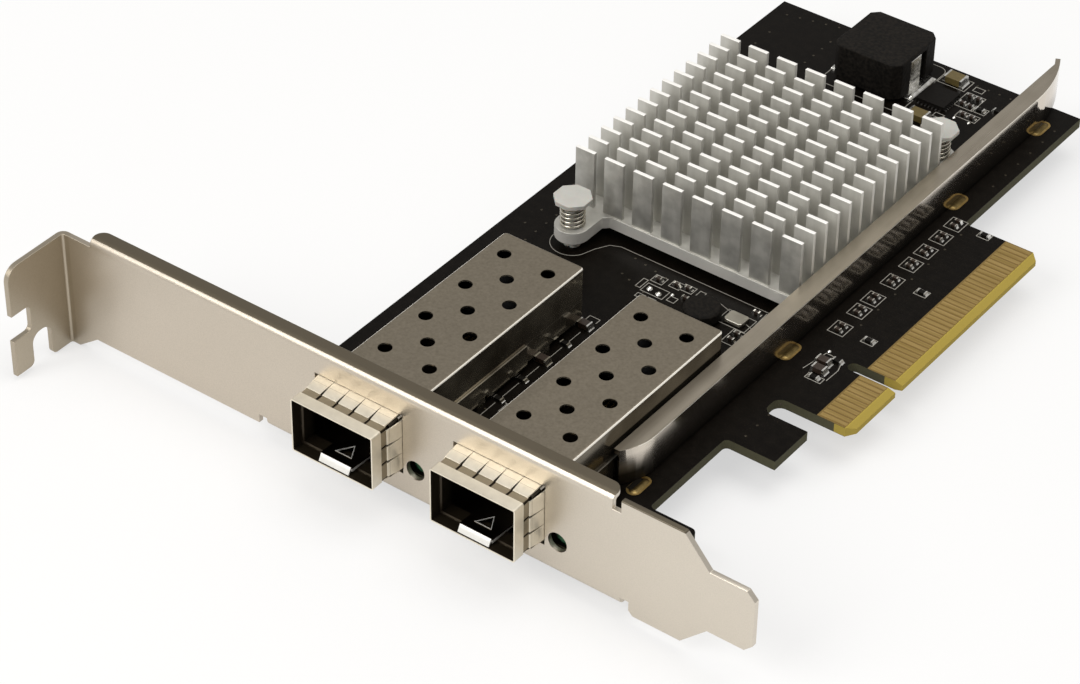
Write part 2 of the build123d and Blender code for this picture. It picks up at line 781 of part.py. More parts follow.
# Two push pins with flat eight-sided heads snap through the board, and a coil spring under each head
# presses the heatsink down.
barb_top = -board_thickness
with BuildPart() as push_pins:
    with BuildSketch(Plane.XY.offset(push_head_top - push_head_thickness)):
        with Locations(*push_points):
            RegularPolygon(push_head / 2, push_head_sides, rotation=180 / push_head_sides)
    extrude(amount=push_head_thickness)
    with BuildSketch(Plane.XY.offset(barb_top)):
        with Locations(*push_points):
            RegularPolygon(push_shank / 2, push_head_sides)
    extrude(amount=push_head_top - barb_top)
    with BuildSketch(Plane.XY.offset(barb_top)):
        with Locations(*push_points):
            RegularPolygon(push_barb / 2, push_head_sides)
    extrude(amount=-push_barb_length, taper=25)
    with BuildSketch(Plane.XY.offset(barb_top - push_barb_length)):
        with Locations(*push_points):
            Rectangle(push_slot, push_barb + 1)
    extrude(amount=push_barb_length + board_thickness, mode=Mode.SUBTRACT)
push_pins.part.label = "push_pins"
export_step(push_pins.part, "parts/push_pins.step")

spring_low = sink_base_top + spring_wire / 2 + spring_gap
spring_high = push_head_top - push_head_thickness - spring_wire / 2 - spring_gap
spring_radius = spring_inside + spring_wire / 2
spring_steps = spring_turns * spring_corners
spring_arm = Vector(spring_radius, 0, 0)
with BuildPart() as pin_springs:
    for x, y in push_points:
        turned = [spring_arm.rotate(Axis.Z, 360 * i / spring_corners) for i in range(spring_steps + 1)]
        climb = (spring_high - spring_low) / spring_steps
        heights = [spring_low + climb * i for i in range(spring_steps + 1)]
        with BuildLine() as coil:
            Polyline(*[Vector(x, y, z) + arm for arm, z in zip(turned, heights)])
        with BuildSketch(Plane(coil.line @ 0, z_dir=coil.line % 0)):
            Rectangle(spring_wire, spring_wire)
        sweep(path=coil.line, transition=Transition.RIGHT)
pin_springs.part.label = "pin_springs"
export_step(pin_springs.part, "parts/pin_springs.step")

# The stiffener bar, an angle bent from bright sheet whose ends curl towards the cages. Its tabs stand in
# plated slots of the board.
near_turn = bar_curl_near_angle
far_turn = bar_curl_far_angle
with BuildPart() as stiffener_bar:
    with BuildSketch(Plane.XY.offset(bar_low)):
        with BuildLine():
            front = Line((bar_face, bar_start), (bar_face, bar_end))
            far = JernArc(front @ 1, (0, 1), bar_curl_far, far_turn)
            back = Line((bar_face - bar_sheet, bar_start), (bar_face - bar_sheet, bar_end))
            far_back = JernArc(back @ 1, (0, 1), bar_curl_far - bar_sheet, far_turn)
            Line(far @ 1, far_back @ 1)
            near = JernArc(front @ 0, (0, -1), bar_curl_near, -near_turn)
            near_back = JernArc(back @ 0, (0, -1), bar_curl_near - bar_sheet, -near_turn)
            Line(near @ 1, near_back @ 1)
        make_face()
    extrude(amount=bar_height - bar_low)
    with BuildSketch(Plane.XY.offset(bar_height - bar_sheet)):
        with BuildLine():
            front = Line((bar_face, bar_start), (bar_face, bar_end))
            far = JernArc(front @ 1, (0, 1), bar_curl_far, far_turn)
            near = JernArc(front @ 0, (0, -1), bar_curl_near, -near_turn)
            flange_x = bar_face - bar_flange
            Polyline(far @ 1, (flange_x, (far @ 1).Y), (flange_x, (near @ 1).Y), near @ 1)
        make_face()
    extrude(amount=bar_sheet)
    with BuildSketch(Plane.XY.offset(bar_low)):
        with Locations(*bar_slot_points):
            Rectangle(bar_sheet, bar_tab_length)
    extrude(amount=-(bar_low + board_thickness + bar_tab_reach))
stiffener_bar.part.label = "stiffener_bar"
export_step(stiffener_bar.part, "parts/stiffener_bar.step")

# The gold rims of the plated slots, one on each side of the board at each tab.
with BuildPart() as slot_pads:
    for level in (0, -board_thickness - pad_plate):
        with BuildSketch(Plane.XY.offset(level)) as rims:
            with Locations(*bar_slot_points):
                Rectangle(bar_slot_width + 2 * bar_pad, bar_slot_length + 2 * bar_pad)
            chamfer(rims.vertices(), length=bar_pad)
            with Locations(*bar_slot_points):
                Rectangle(bar_slot_width, bar_slot_length, mode=Mode.SUBTRACT)
        extrude(amount=pad_plate)
slot_pads.part.label = "slot_pads"
export_step(slot_pads.part, "parts/slot_pads.step")

# The power choke, a pressed powder block with a tinned terminal in a recess on two sides.
with BuildPart() as power_choke:
    with BuildSketch(Plane.XY.offset(choke_low)) as block:
        with Locations((choke_x, choke_y)):
            Rectangle(choke_side, choke_side)
        chamfer(block.vertices(), length=choke_corner)
    extrude(amount=choke_high - choke_low)
    fillet(power_choke.edges().group_by(Axis.Z)[-1], radius=0.3)
    with BuildSketch(Plane.XY.offset(choke_low)):
        with Locations((choke_x, choke_y)):
            with GridLocations(choke_side, 1, 2, 1):
                Rectangle(4 * terminal_sheet, terminal_room)
    extrude(amount=terminal_top + terminal_sheet - choke_low, mode=Mode.SUBTRACT)
power_choke.part.label = "power_choke"
export_step(power_choke.part, "parts/power_choke.step")

with BuildPart() as choke_terminals:
    riser_x = choke_side / 2 - 3 * terminal_sheet / 2
    foot_reach = 5 * terminal_sheet
    with BuildSketch(Plane.XY):
        with Locations((choke_x, choke_y)):
            with GridLocations(2 * riser_x, 1, 2, 1):
                Rectangle(terminal_sheet, terminal_width)
    extrude(amount=terminal_top)
    with BuildSketch(Plane.XY):
        with Locations((choke_x, choke_y)):
            with GridLocations(2 * riser_x + foot_reach, 1, 2, 1):
                Rectangle(foot_reach, terminal_foot)
    extrude(amount=terminal_sheet)
choke_terminals.part.label = "choke_terminals"
export_step(choke_terminals.part, "parts/choke_terminals.step")

# The round shielded inductor of the small supply, on two tinned end pads.
with BuildPart() as round_inductor:
    with BuildSketch(Plane.XY.offset(terminal_sheet)):
        with Locations((inductor_x, inductor_y)):
            Circle(inductor_diameter / 2)
    extrude(amount=inductor_height - terminal_sheet)
    chamfer(round_inductor.edges().group_by(Axis.Z)[-1], length=0.3)
round_inductor.part.label = "round_inductor"
export_step(round_inductor.part, "parts/round_inductor.step")

with BuildPart() as inductor_terminals:
    with BuildSketch(Plane.XY):
        with Locations((inductor_x, inductor_y)):
            with GridLocations(1, inductor_diameter - inductor_pad / 2, 1, 2):
                Rectangle(inductor_pad, inductor_pad)
    extrude(amount=terminal_sheet)
inductor_terminals.part.label = "inductor_terminals"
export_step(inductor_terminals.part, "parts/inductor_terminals.step")

# The crystal in its flat metal can, beside the small supply.
with BuildPart() as crystal:
    with Locations((*crystal_place, 0)):
        Box(*crystal_size, align=(Align.CENTER, Align.CENTER, Align.MIN))
    chamfer(crystal.edges().filter_by(Axis.Z), length=0.3)
crystal.part.label = "crystal"
export_step(crystal.part, "parts/crystal.step")

# The regulator that drives the choke, a flat leadless chip.
with BuildPart() as regulator_chip:
    with Locations((*regulator_place, 0)):
        Box(*regulator_size, align=(Align.CENTER, Align.CENTER, Align.MIN))
regulator_chip.part.label = "regulator_chip"
export_step(regulator_chip.part, "parts/regulator_chip.step")

# The memory chip that holds the controller's settings, beside the heatsink, with four leads on each
# long side.
memory_place = (sink_x - sink_width / 2 - memory_gap - memory_size[0] / 2, sink_y + memory_row)
with BuildPart() as memory_chip:
    with Locations((*memory_place, memory_lift)):
        Box(*memory_size, align=(Align.CENTER, Align.CENTER, Align.MIN))
    chamfer(memory_chip.edges().filter_by(Axis.Y).group_by(Axis.Z)[-1].sort_by(Axis.X)[0], length=0.4)
memory_chip.part.label = "memory_chip"
export_step(memory_chip.part, "parts/memory_chip.step")

with BuildPart() as memory_leads:
    lead_width_y, lead_run, lead_plate = memory_lead
    lead_top = memory_lift + memory_size[2] / 2
    for out in (-1, 1):
        wall_x = memory_place[0] + out * memory_size[0] / 2
        inner_knee, foot, outer_knee = [wall_x + out * knee for knee in memory_lead_knee]
        with BuildSketch(Plane.XZ.offset(-memory_place[1])):
            with BuildLine():
                Polyline(
                    (wall_x, lead_top),
                    (foot, lead_top),
                    (outer_knee, lead_plate),
                    (wall_x + out * lead_run, lead_plate),
                    (wall_x + out * lead_run, 0),
                    (foot, 0),
                    (inner_knee, lead_top - lead_plate),
                    (wall_x, lead_top - lead_plate),
                    close=True,
                )
            make_face()
        first = extrude(amount=lead_width_y / 2, both=True, mode=Mode.PRIVATE)
        with GridLocations(1, memory_lead_pitch, 1, 4):
            add(first)
memory_leads.part.label = "memory_leads"
export_step(memory_leads.part, "parts/memory_leads.step")

# The chip capacitors and resistors: a body between two tinned ends, each lying along X. Those on the
# solder side sit under the controller and its supply.
coupling_places = [(coupling_x, y + edge * coupling_spacing / 2) for y in coupling_rows for edge in (-1, 1)]
under_small_places = [(sink_x + x, sink_y + y) for x in under_columns for y in under_rows]
under_large_places = [(sink_x + x, sink_y + y) for x, y in under_large]
chip_sets = {
    "coupling_capacitors": [(small_capacitor, coupling_places, 1)],
    "small_capacitors": [
        (small_capacitor, small_capacitor_places, 1),
        (medium_capacitor, medium_capacitor_places, 1),
    ],
    "bulk_capacitors": [(large_capacitor, large_capacitor_places, 1)],
    "chip_resistors": [(resistor, resistor_places, 1)],
    "under_capacitors": [
        (small_capacitor, under_small_places, -1),
        (medium_capacitor, under_large_places, -1),
    ],
}
for name, batches in chip_sets.items():
    with BuildPart() as bodies:
        for (length, width, height), places, up in batches:
            with BuildSketch(Plane.XY.offset(0 if up > 0 else -board_thickness)):
                with Locations(*places):
                    ended = up > 0 and length > small_capacitor[0]
                    Rectangle(length - 2 * chip_end if ended else length, width)
            extrude(amount=up * height)
    bodies.part.label = name
    export_step(bodies.part, f"parts/{name}.step")

with BuildPart() as chip_ends:
    for batches in chip_sets.values():
        for (length, width, height), places, up in batches:
            if up > 0 and length > small_capacitor[0]:
                with BuildSketch(Plane.XY):
                    with Locations(*places):
                        with GridLocations(length - chip_end, 1, 2, 1):
                            Rectangle(chip_end, width + 2 * end_grow)
                extrude(amount=height + end_grow)
chip_ends.part.label = "chip_ends"
export_step(chip_ends.part, "parts/chip_ends.step")
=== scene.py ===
import bmesh
import bpy
import numpy as np
from mathutils import Matrix, Vector
from mathutils.geometry import tessellate_polygon


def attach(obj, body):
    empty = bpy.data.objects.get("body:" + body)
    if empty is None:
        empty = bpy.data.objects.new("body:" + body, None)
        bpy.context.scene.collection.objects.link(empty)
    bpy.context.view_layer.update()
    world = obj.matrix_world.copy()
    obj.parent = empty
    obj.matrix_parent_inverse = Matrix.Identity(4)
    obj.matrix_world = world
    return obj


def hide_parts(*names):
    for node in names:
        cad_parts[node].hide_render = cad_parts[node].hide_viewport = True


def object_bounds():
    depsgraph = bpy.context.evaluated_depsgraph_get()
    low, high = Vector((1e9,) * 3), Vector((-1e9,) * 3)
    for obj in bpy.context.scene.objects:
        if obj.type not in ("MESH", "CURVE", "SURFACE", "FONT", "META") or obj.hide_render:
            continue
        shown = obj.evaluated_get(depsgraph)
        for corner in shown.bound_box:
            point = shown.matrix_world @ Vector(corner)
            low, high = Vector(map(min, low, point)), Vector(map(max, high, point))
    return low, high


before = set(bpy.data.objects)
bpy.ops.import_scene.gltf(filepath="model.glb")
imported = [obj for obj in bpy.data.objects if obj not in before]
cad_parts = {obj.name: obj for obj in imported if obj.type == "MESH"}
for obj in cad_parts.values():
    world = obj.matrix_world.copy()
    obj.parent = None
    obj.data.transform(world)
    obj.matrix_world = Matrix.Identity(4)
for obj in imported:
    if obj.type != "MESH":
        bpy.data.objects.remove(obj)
cad_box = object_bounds()

# The camera stands above the bracket's connector end and looks down at the middle of the card, which
# lies with its component side up. Its long lens keeps the card's edges nearly parallel.
azimuth, elevation, roll = np.radians((36.386, 38.29, 0.721))
aim, distance = np.array((-0.04634, -0.02254, 0.0)), 0.49182
away = np.array((np.sin(azimuth) * np.cos(elevation), -np.cos(azimuth) * np.cos(elevation), np.sin(elevation)))
level = np.array((np.cos(azimuth), np.sin(azimuth), 0.0))
above = np.cross(away, level)
axes = (level * np.cos(roll) + above * np.sin(roll), above * np.cos(roll) - level * np.sin(roll), away)
lens = bpy.data.cameras.new("camera")
lens.sensor_width, lens.lens = 36, 114.64
lens.clip_start, lens.clip_end = 0.01, 20
camera = bpy.data.objects.new("camera", lens)
bpy.context.scene.collection.objects.link(camera)
stand = np.column_stack((*axes, aim + away * distance))
camera.matrix_world = Matrix(np.vstack((stand, (0, 0, 0, 1))).tolist())
bpy.context.scene.camera = camera
bpy.context.scene.view_settings.view_transform = "Standard"


# The printed board is glass laminate under black solder mask, routed to shape, so its cut edges show the
# laminate. The mask stops at the tongue, which is bare between its contacts and bevelled at its end.
class Term:
    """A shader socket in an expression. Each operator adds the Math node of its name."""

    def __init__(self, tree, socket):
        self.tree, self.socket = tree, socket

    def math(self, operation, *values, clamp=False):
        node = self.tree.nodes.new("ShaderNodeMath")
        node.operation, node.use_clamp = operation, clamp
        for slot, value in zip(node.inputs, values):
            if isinstance(value, Term):
                self.tree.links.new(value.socket, slot)
            else:
                slot.default_value = value
        return Term(self.tree, node.outputs[0])

    def __add__(self, other):
        return self.math("ADD", self, other)

    def __radd__(self, other):
        return self.math("ADD", other, self)

    def __sub__(self, other):
        return self.math("SUBTRACT", self, other)

    def __rsub__(self, other):
        return self.math("SUBTRACT", other, self)

    def __mul__(self, other):
        return self.math("MULTIPLY", self, other)

    def __rmul__(self, other):
        return self.math("MULTIPLY", other, self)

    def __gt__(self, other):
        return self.math("GREATER_THAN", self, other)

    def __lt__(self, other):
        return self.math("LESS_THAN", self, other)

    def __abs__(self):
        return self.math("ABSOLUTE", self)

    def ramp(self, low, high):
        """(value - low) / (high - low), held between 0 and 1."""
        return self.math("DIVIDE", self - low, high - low, clamp=True)

    def between(self, low, high):
        """1 where the value lies between the two, and 0 elsewhere."""
        return (self > low) * (self < high)

    def fraction(self):
        """The value less the whole number below it."""
        return self.math("FRACT", self)


class Nodes:
    """A tree of shader nodes, of a material or of the world."""

    def __init__(self, tree):
        self.tree = tree

    def node(self, kind, settings=(), sockets=(), outlet=0):
        """An outlet of a new node of that type, whose settings are made before its sockets get values or links."""
        node = self.tree.nodes.new(kind)
        for key, value in dict(settings).items():
            setattr(node, key, value)
        for key, value in dict(sockets).items():
            if isinstance(value, Term):
                self.tree.links.new(value.socket, node.inputs[key])
            else:
                node.inputs[key].default_value = value
        return Term(self.tree, node.outputs[outlet])

    def ray(self, kind):
        """1 for a ray of that kind, and 0 for any other."""
        return self.node("ShaderNodeLightPath", outlet=f"Is {kind} Ray")

    def mixed(self, factor, first, second, end):
        """Two shaders mixed by a factor and led to the tree's end."""
        mix = self.node("ShaderNodeMixShader", (), {0: factor, 1: first, 2: second})
        self.tree.links.new(mix.socket, self.tree.nodes[end].inputs[0])


class Finish(Nodes):
    """A material: a Principled shader with plain values on its own sockets, fed where it varies."""

    def __init__(self, name, colour, **values):
        self.material = bpy.data.materials.new(name)
        self.material.use_nodes = True
        super().__init__(self.material.node_tree)
        self.shader = self.tree.nodes["Principled BSDF"]
        self.shader.inputs["Base Color"].default_value = (*colour, 1)
        for socket, value in values.items():
            self.shader.inputs[socket.replace("_", " ")].default_value = value

    def place(self):
        """Object coordinates."""
        return self.node("ShaderNodeTexCoord", outlet="Object")

    def xyz(self):
        """The three coordinates of a point of the surface, in metres."""
        split = self.node("ShaderNodeSeparateXYZ", (), {0: self.place()})
        return [Term(self.tree, outlet) for outlet in split.socket.node.outputs]

    def noise(self, scale, detail=3.0, stretch=(1, 1, 1)):
        """Fractal noise over Object coordinates, which are first scaled by stretch, in metres."""
        spread = self.node("ShaderNodeMapping", (), {0: self.place(), "Scale": stretch})
        return self.node("ShaderNodeTexNoise", (), {"Vector": spread, "Scale": scale, "Detail": detail}, "Fac")

    def blend(self, factor, first, second):
        """A colour between two colours."""
        ends = [value if isinstance(value, Term) else (*value, 1) for value in (first, second)]
        return self.node("ShaderNodeMix", {"data_type": "RGBA"}, {0: factor, 6: ends[0], 7: ends[1]}, 2)

    def feed(self, socket, value):
        """Links a value that varies over the surface to one socket of the shader."""
        self.tree.links.new(value.socket, self.shader.inputs[socket])

    def relief(self, height, depth, strength=1.0):
        """A height that varies over the surface tilts the shading, by that depth in metres where it is 1."""
        sockets = {"Height": height, "Distance": depth, "Strength": strength}
        self.feed("Normal", self.node("ShaderNodeBump", (), sockets))


def coat(finish, *nodes):
    """Gives CAD nodes that keep their own shape one finish."""
    for node in nodes:
        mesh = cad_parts[node].data
        mesh.materials.clear()
        mesh.materials.append(finish.material)


thickness = 1.57
laminate = (0.075, 0.072, 0.045)
mask = Finish("solder_mask", (0.006, 0.0055, 0.005), Roughness=0.3, Specular_IOR_Level=0.07)
x, y, z = mask.xyz()
mottle = mask.noise(700, 4)
dust = mask.noise(5200, 2)
on_tongue = (x > -0.0059) * y.between(-0.01215, 0.03915)
on_wall = z.between(-0.00153, -0.00004)
masked = mask.blend(dust.ramp(0.60, 0.74) * 0.6, (0.0030, 0.0022, 0.0015), (0.034, 0.026, 0.018))
masked = mask.blend(mottle.ramp(0.40, 0.75) * 0.4, masked, (0.010, 0.008, 0.006))
bare = mask.blend(x > -0.00125, (0.20, 0.135, 0.048), (0.40, 0.305, 0.062))
top = mask.blend(on_tongue, masked, bare)
cut = mask.blend((x > -0.0030) * y.between(-0.0125, 0.0395), laminate, (0.37, 0.28, 0.06))
mask.feed("Base Color", mask.blend(on_wall, top, cut))
mask.feed("Roughness", 0.26 + mottle * 0.16 + on_wall * 0.4)
pairs = abs((y * 1000 + 0.2).fraction() - 0.5) < 0.12
tracks = pairs * x.between(-0.0129, -0.0060) * y.between(0.002, 0.039)
weave = mask.noise(1800, 2)
mask.relief(tracks * 0.5 + weave * 0.35 + on_wall * mask.noise(9000, 2) * 1.5, depth=0.00003, strength=0.5)
coat(mask, "board")


# Small vias run through the board in loose rows. The mask closes them, so that each is a low dimple
# with a faint metal rim.
def woven(points, around=False, along=False):
    """A part, which is its corners and a list of face tables, from a grid of points, rows by columns. around
    joins the last column to the first, and along the last row to the first."""
    rows, columns = points.shape[:2]
    i, j = np.meshgrid(
        np.arange(rows if along else rows - 1), np.arange(columns if around else columns - 1), indexing="ij"
    )
    low, side = (i + 1) % rows * columns, (j + 1) % columns
    quads = np.stack((i * columns + j, i * columns + side, low + side, low + j), -1)
    return points.reshape(-1, 3), [quads.reshape(-1, 4)]


def joined(*parts):
    """Several parts as one, each part's corner numbers moved past those before it."""
    starts = np.cumsum([0] + [len(corners) for corners, faces in parts[:-1]])
    faces = [quads + start for (corners, sheets), start in zip(parts, starts) for quads in sheets]
    return np.concatenate([corners for corners, sheets in parts]), faces


def repeated(part, places):
    """One part set down at each of several places."""
    corners, faces = part
    places = np.array(places, float)
    moved = (corners[None] + places[:, None]).reshape(-1, 3)
    steps = np.arange(len(places))[:, None, None] * len(corners)
    return moved, [(quads[None] + steps).reshape(-1, quads.shape[1]) for quads in faces]


def revolved(profile, sides=24):
    """A profile of radius and height turned round the Z axis: (r cos t, r sin t, h)."""
    radius, height = np.array(profile, float).T[:, :, None]
    turn = np.linspace(0, 2 * np.pi, sides, endpoint=False)[None]
    points = np.stack((radius * np.cos(turn), radius * np.sin(turn), height + 0 * turn), -1)
    return woven(points, around=True)


def dressed(mesh, finish, nodes, crease, edge, steps, wall=0.0, lining=None):
    """The mesh as an object, shaded smooth but for its creases and open edges. It may get a wall inwards, whose
    inner side has its own finish, and its sharp edges may be eased in some steps, both in metres. It rides on
    the card, and stands for the CAD nodes named."""
    mesh.materials.append(finish.material)
    made = bpy.data.objects.new(mesh.name, mesh)
    bpy.context.scene.collection.objects.link(made)
    mesh.shade_smooth()
    mesh.set_sharp_from_angle(angle=np.radians(crease))
    sides, sharp = np.empty(len(mesh.loops), np.int32), np.empty(len(mesh.edges), bool)
    mesh.loops.foreach_get("edge_index", sides)
    mesh.edges.foreach_get("use_edge_sharp", sharp)
    mesh.edges.foreach_set("use_edge_sharp", sharp | (np.bincount(sides, minlength=len(sharp)) == 1))
    if wall:
        sheet = made.modifiers.new("sheet", "SOLIDIFY")
        sheet.thickness, sheet.offset, sheet.use_even_offset = wall, -1, True
        mesh.materials.append(lining.material)
        sheet.material_offset = 1
    if edge:
        bevel = made.modifiers.new("eased_edges", "BEVEL")
        bevel.width, bevel.segments, bevel.limit_method = edge, steps, "ANGLE"
        bevel.angle_limit, bevel.harden_normals = np.radians(crease), True
    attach(made, "root")
    if nodes:
        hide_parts(*nodes)


def piece(name, part, finish, slot, *nodes, crease=35, edge=0.0, wall=0.0, lining=None):
    """An object from a part in millimetres, with its doubles merged and its faces turned outwards."""
    mesh = bpy.data.meshes.new(name)
    mesh.from_pydata((part[0] / 1000).tolist(), [], [face for sheet in part[1] for face in sheet.tolist()])
    work = bmesh.new()
    work.from_mesh(mesh)
    bmesh.ops.remove_doubles(work, verts=work.verts, dist=1e-7)
    bmesh.ops.dissolve_degenerate(work, dist=1e-8, edges=work.edges)
    bmesh.ops.recalc_face_normals(work, faces=work.faces)
    work.to_mesh(mesh)
    work.free()
    dressed(mesh, finish, nodes, crease, edge, 2, wall, lining)


via = Finish("via_rim", (0.050, 0.045, 0.030), Metallic=0.4, Roughness=0.35)
via.feed("Base Color", via.blend(via.noise(900), (0.008, 0.007, 0.004), (0.055, 0.042, 0.022)))
dimple = revolved([(0, 0.012), (0.08, 0.012), (0.11, 0.03), (0.17, 0.03), (0.20, 0.0), (0, 0)], sides=8)
# Each row: where its first via lies along X and Y, the step to the next along both, and how many there are.
via_rows = (
    (-21.8, -33.0, 0.0, 2.1, 12), (-37.0, -9.6, 1.9, 0.0, 7), (-46.5, -2.2, 1.7, -0.6, 4),
    (-62.8, -12.0, 0.0, 2.6, 12), (-65.4, -9.0, 0.0, 4.1, 19), (-40.8, 0.8, -2.1, 0.4, 4),
    (-18.9, 46.5, 0.1, 2.4, 9), (-14.6, 50.0, 0.0, 3.7, 6), (-43.4, -43.0, 0.0, 1.9, 3),
    (-30.6, 72.0, 2.0, 0.0, 7), (-22.6, 55.0, 0.0, 1.8, 6), (-66.0, 70.8, 2.2, 0.5, 6),
    (-56.0, 58.4, 0.0, 2.5, 5), (-11.2, -22.0, 0.0, 2.9, 4), (-12.0, 8.8, 0.0, 4.6, 7),
)
via_places = [(x0 + dx * i, y0 + dy * i, 0) for x0, y0, dx, dy, count in via_rows for i in range(count)]
piece("board_vias", repeated(dimple, via_places), via, "gold_plate")

# The edge connector's contacts are plated straight on the laminate, with fine lengthwise wear from the
# slots that the card was tried in.
gold = Finish("gold_plate", (0.80, 0.57, 0.22), Metallic=1.0, Roughness=0.32)
worn = gold.noise(900, 3, stretch=(0.15, 2.5, 1))
gold.feed("Base Color", gold.blend(worn.ramp(0.3, 0.7), (0.46, 0.315, 0.10), (0.60, 0.425, 0.17)))
gold.feed("Roughness", 0.24 + worn * 0.22)
gold.relief(worn, depth=0.00001, strength=0.4)
coat(gold, "component_side_contacts", "solder_side_contacts", "left_host_leads", "right_host_leads")


# White ink is printed on the mask round the parts of the board. Each of its lines is a low raised strip with
# flat ends, and none of them is lettering.
def rounded(corners, radius, steps=5):
    """A closed outline whose corners are arcs. With a and b the two spokes from an arc's centre to where it
    meets the sides, at an angle w, its points are (sin((1-t)w) a + sin(tw) b) / sin w from the centre."""
    here = np.array(corners, float)
    radius = np.broadcast_to(radius, len(here)).astype(float)[:, None]
    back, on = np.roll(here, 1, 0) - here, np.roll(here, -1, 0) - here
    back /= np.linalg.norm(back, axis=1, keepdims=True)
    on /= np.linalg.norm(on, axis=1, keepdims=True)
    half = np.arccos(np.clip((back * on).sum(1, keepdims=True), -1, 1)) / 2
    middle = (back + on) / np.linalg.norm(back + on, axis=1, keepdims=True)
    centre = here + middle * radius / np.sin(half)
    first, last = here + back * radius / np.tan(half), here + on * radius / np.tan(half)
    turn = (np.pi - 2 * half)[:, None]
    t = np.linspace(0, 1, steps + 1)[None, :, None]
    spokes = np.sin((1 - t) * turn) * (first - centre)[:, None] + np.sin(t * turn) * (last - centre)[:, None]
    return (centre[:, None] + spokes / np.sin(turn)).reshape(-1, here.shape[1])


def stroke(points, width, low, high, closed=False):
    """A strip of even width along flat points: each point moved by half the width along its mitred normal to
    either side, at a low and a high level."""
    line = np.array(points, float)
    before = line - np.roll(line, 1, 0)
    after = np.roll(line, -1, 0) - line
    if not closed:
        before[0], after[-1] = after[0], before[-1]
    before /= np.linalg.norm(before, axis=1, keepdims=True)
    after /= np.linalg.norm(after, axis=1, keepdims=True)
    side = np.column_stack((-(before + after)[:, 1], (before + after)[:, 0]))
    side *= width / (side * side).sum(1, keepdims=True)
    walk = ((1, low), (1, high), (-1, high), (-1, low))
    ring = [np.column_stack((line + side * way, np.full(len(line), at))) for way, at in walk]
    corners, faces = woven(np.stack(ring, 1), around=True, along=closed)
    if not closed:
        last = 4 * len(line) - 4
        faces = faces + [np.array([[0, 1, 2, 3], [last + 3, last + 2, last + 1, last]])]
    return corners, faces


def outline(x0, y0, x1, y1):
    """The corners of a rectangle, walked round from its lowest one."""
    return [(x0, y0), (x1, y0), (x1, y1), (x0, y1)]


def inked(points, width=0.11, closed=False):
    """A line of ink along flat points, on the board's component side."""
    return stroke(points, width, 0.0, 0.02, closed)


ink = Finish("printed_ink", (0.42, 0.41, 0.38), Roughness=0.6)
ink.feed("Base Color", ink.blend(ink.noise(2600), (0.17, 0.16, 0.14), (0.50, 0.48, 0.43)))
coupling_rows = (6.3, 11.4, 15.1, 20.4, 25.5, 29.6, 33.9, 38.1)
ink_boxes = [(-15.25, row - 1.45, -12.65, row + 1.45) for row in coupling_rows]
ink_boxes += [(-10.05, row - 0.75, -8.05, row + 0.75) for row in (6.3, 20.6, 38.3)]
ink_boxes += [
    (-36.4, 69.3, -31.5, 72.4), (-30.9, 65.3, -27.6, 69.5), (-29.2, 62.7, -25.6, 64.5), (-27.9, 65.4, -25.5, 67.0),
    (-42.1, -3.8, -38.3, -1.7), (-26.0, -6.6, -24.0, -3.1), (-37.6, -0.2, -35.6, 1.4), (-39.4, -0.5, -37.6, 1.1),
    (-42.3, -1.0, -40.3, 0.7), (-11.95, -6.1, -9.35, -4.9), (-29.2, -3.0, -24.4, 0.3), (-43.3, -3.4, -42.5, -1.2),
    (-42.0, -5.4, -40.6, -4.5), (-40.2, -5.4, -38.8, -4.5), (-37.7, -3.5, -36.4, -2.3), (-36.0, -6.9, -34.4, -5.9),
    (-34.9, -0.1, -33.9, 1.3), (-30.6, 70.4, -28.9, 71.6), (-32.0, 60.6, -30.4, 61.7),
]
ink_lines = [inked(outline(*box), closed=True) for box in ink_boxes]
ink_lines += [
    inked(rounded(outline(-51.6, 57.9, -36.6, 73.0), 1.4), 0.12, closed=True),
    inked([(-13.2, -4.6), (-12.4, 0.3), (-9.6, 0.2), (-8.9, -2.1), (-9.0, -5.0)]),
    inked([(-32.8, 1.2), (-24.0, -1.6), (-24.2, 2.7)]),
    inked([(-59.6, -16.0), (-59.6, -48.0)]),
    inked([(-44.3, -14.3), (-44.3, -13.2), (-42.5, -13.2), (-42.5, -14.3)]),
    inked([(-41.6, -38.6), (-41.6, -36.5), (-42.0, -36.5)]),
]
dashes = ((-44.0, -37.3), (-35.7, -31.8), (-30.2, -27.1), (-24.7, -21.6), (-20.0, -17.2))
ink_lines += [inked([(-43.1, start), (-43.1, stop)], 0.10) for start, stop in dashes]
turn = np.radians(np.linspace(150, 330, 22))
ear_line = np.column_stack((-56.9 + 3.35 * np.cos(turn), -0.45 + 3.35 * np.sin(turn)))
ear_line = np.vstack((ear_line, [(-53.2, 0.2), (-52.0, 2.3), (-50.4, 3.0), (-24.0, 3.0)]))
ink_lines.append(inked(ear_line, 0.09))
piece("printed_outlines", joined(*ink_lines), ink, "ceramic_tan")


# Each small part ends in tinned metal caps, by which it is soldered to its pads. The solder climbs a cap from
# the pad in a hollow fillet.
def plate(loops, low, high):
    """A flat plate between two levels: its outline and its holes make the walls, and both faces are filled."""
    loops = [np.array(loop, float) for loop in loops]
    walls = [
        woven(np.stack([np.column_stack((loop, np.full(len(loop), at))) for at in (low, high)]), around=True)
        for loop in loops
    ]
    flat = np.concatenate(loops)
    fill = np.array(tessellate_polygon([[Vector((*point, 0)) for point in loop] for loop in loops]))
    caps = [(np.column_stack((flat, np.full(len(flat), at))), [fill]) for at in (low, high)]
    return joined(*walls, *caps)


def laid(part, origin, u, v, w):
    """A part turned and moved: its three axes go along u, v and w from the origin."""
    return part[0] @ np.array((u, v, w), float) + np.array(origin, float), part[1]


